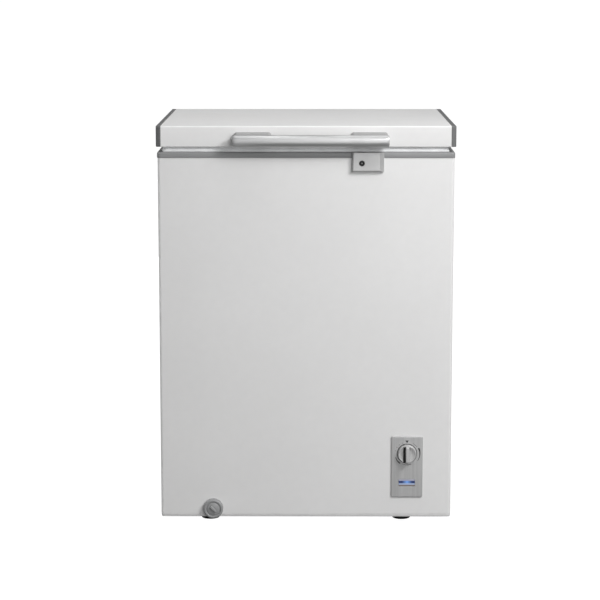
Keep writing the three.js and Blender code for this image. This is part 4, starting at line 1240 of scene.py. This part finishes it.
def add_spring(side, x):
    """A torsion spring round the pin, with one leg on either side of it."""
    left, right = x - COIL_HALF, x + COIL_HALF
    near, far = PIVOT[0] + COIL_RADIUS, PIVOT[0] - COIL_RADIUS
    points = [Vector((left, near, PIVOT[1] - 12)), Vector((left, near, PIVOT[1] - 4))]
    count = int(COIL_TURNS * COIL_STEPS)
    for k in range(count + 1):
        angle = 2 * math.pi * k / COIL_STEPS
        points.append(Vector((left + 2 * COIL_HALF * k / count,
                              PIVOT[0] + COIL_RADIUS * math.cos(angle),
                              PIVOT[1] + COIL_RADIUS * math.sin(angle))))
    points += [Vector((right, far, PIVOT[1] - 4)), Vector((right, far, PIVOT[1] - 12))]
    piece(f"torsion_spring_{side}", solid(sweep, points, COIL_WIRE, 8), "zinc_steel", "cabinet",
          [f"hinge_spring_{side}"], sharp=60)


def add_hinge(side):
    x = add_hinge_cap(side)
    add_spring(side, x)
    profile = [(radius, -height) for radius, height in PIN_HALF] + PIN_HALF[::-1]
    pin = solid(lathe, profile, facing("right", (x, *PIVOT)), 28)
    piece(f"hinge_rivet_{side}", pin, "zinc_steel", "cabinet", [f"hinge_pin_{side}"])
    top = span(f"hinge_arm_{side}")[2][1]
    places = [(x + across, ARM_BACK, level) for across in (-11, 11)
              for level in (top - 8, top - 26)]
    screws(f"arm_screws_{side}", "back", places, "lid")


# ---- Basket ----

BASKET_X, BASKET_Y, BASKET_Z = (62.0, 248.0), (-186.5, 208.5), (602.0, 778.0)
THICK_WIRE, THIN_WIRE, HOOK_WIRE = 2.0, 1.4, 1.6  # radii
HOOK_TOP = 797.7


def add_basket():
    """Rings of wire, loops both ways under them, and hooks that lie on the rim."""
    (x0, x1), (y0, y1), (low, high) = BASKET_X, BASKET_Y, BASKET_Z
    bm = bmesh.new()
    for level, radius in ((high, THICK_WIRE), (high - 16, THIN_WIRE), (high - 88, THIN_WIRE),
                          (low + 14, THIN_WIRE)):
        ring = [Vector((a, b, level)) for a, b in rectangle(BASKET_X, BASKET_Y, 14, 5)]
        sweep(bm, ring, radius, 10, closed=True)
    loops = []
    for i in range(1, 19):
        at = y0 + (y1 - y0) * i / 19
        loops.append([(x0, at, high), (x0, at, low), (x1, at, low), (x1, at, high)])
    for i in range(1, 9):
        at = x0 + (x1 - x0) * i / 9
        loops.append([(at, y0, high), (at, y0, low), (at, y1, low), (at, y1, high)])
    for corners in loops:
        sweep(bm, route(corners, 14), THIN_WIRE, 8)
    for at in (x0 + 40, x1 - 40):
        for side, sign in ((y0, -1), (y1, 1)):
            hook = [(at, side, high - 16), (at, side, HOOK_TOP), (at, side + sign * 16, HOOK_TOP)]
            sweep(bm, route(hook, 3), HOOK_WIRE, 10)
    piece("basket_wires", bm, "coated_wire", "basket", ["wire_basket"], sharp=60)


# ---- CAD pieces that keep their own shape ----

KEPT = {  # material and rounding in millimetres: CAD nodes
    ("white_paint", 0.3): ["rear_panel"],
    ("zinc_steel", 0.0): ["thermostat_shaft", "condenser_coil"],
    ("zinc_steel", 0.2): ["bottom_plate", "machine_bay_wall"],
    ("zinc_steel", 0.3): [
        "compressor_tray", "lock_cam", "hinge_base_left", "hinge_base_right", "hinge_arm_left",
        "hinge_arm_right", "rear_roller_bracket_left", "rear_roller_bracket_right"],
    ("pu_foam", 0.0): ["foam_insulation", "lid_foam"],
    ("black_plastic", 1.0): ["thermostat_body"],
    ("copper", 0.0): ["evaporator_coil", "suction_tube", "discharge_tube", "filter_drier",
                      "capillary_tube"],
    ("drain_plastic", 0.5): ["drain_spout"],
    ("drain_plastic", 0.0): ["drain_pipe"],
}


def finish_kept_nodes():
    for (look, rounding), names in KEPT.items():
        for name in names:
            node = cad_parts[name]
            node.data.materials.clear()
            node.data.materials.append(MATERIALS[look])
            if rounding:
                soften(node, rounding * MM, 2)


add_studio()
add_cabinet_shell()
add_rim()
add_liner()
add_bay_cover()
add_rear_screws()
add_compressor()
add_rubber_mounts()
add_lid_skin()
add_gasket()
add_lid_liner()
add_bar()
add_lock()
add_controls()
add_drain_cap()
add_drain_plug()
add_basket()
for side in ("left", "right"):
    add_foot(side)
    add_roller(side)
    add_lid_trim(side)
    add_pedestal(side)
    add_hinge(side)
finish_kept_nodes()
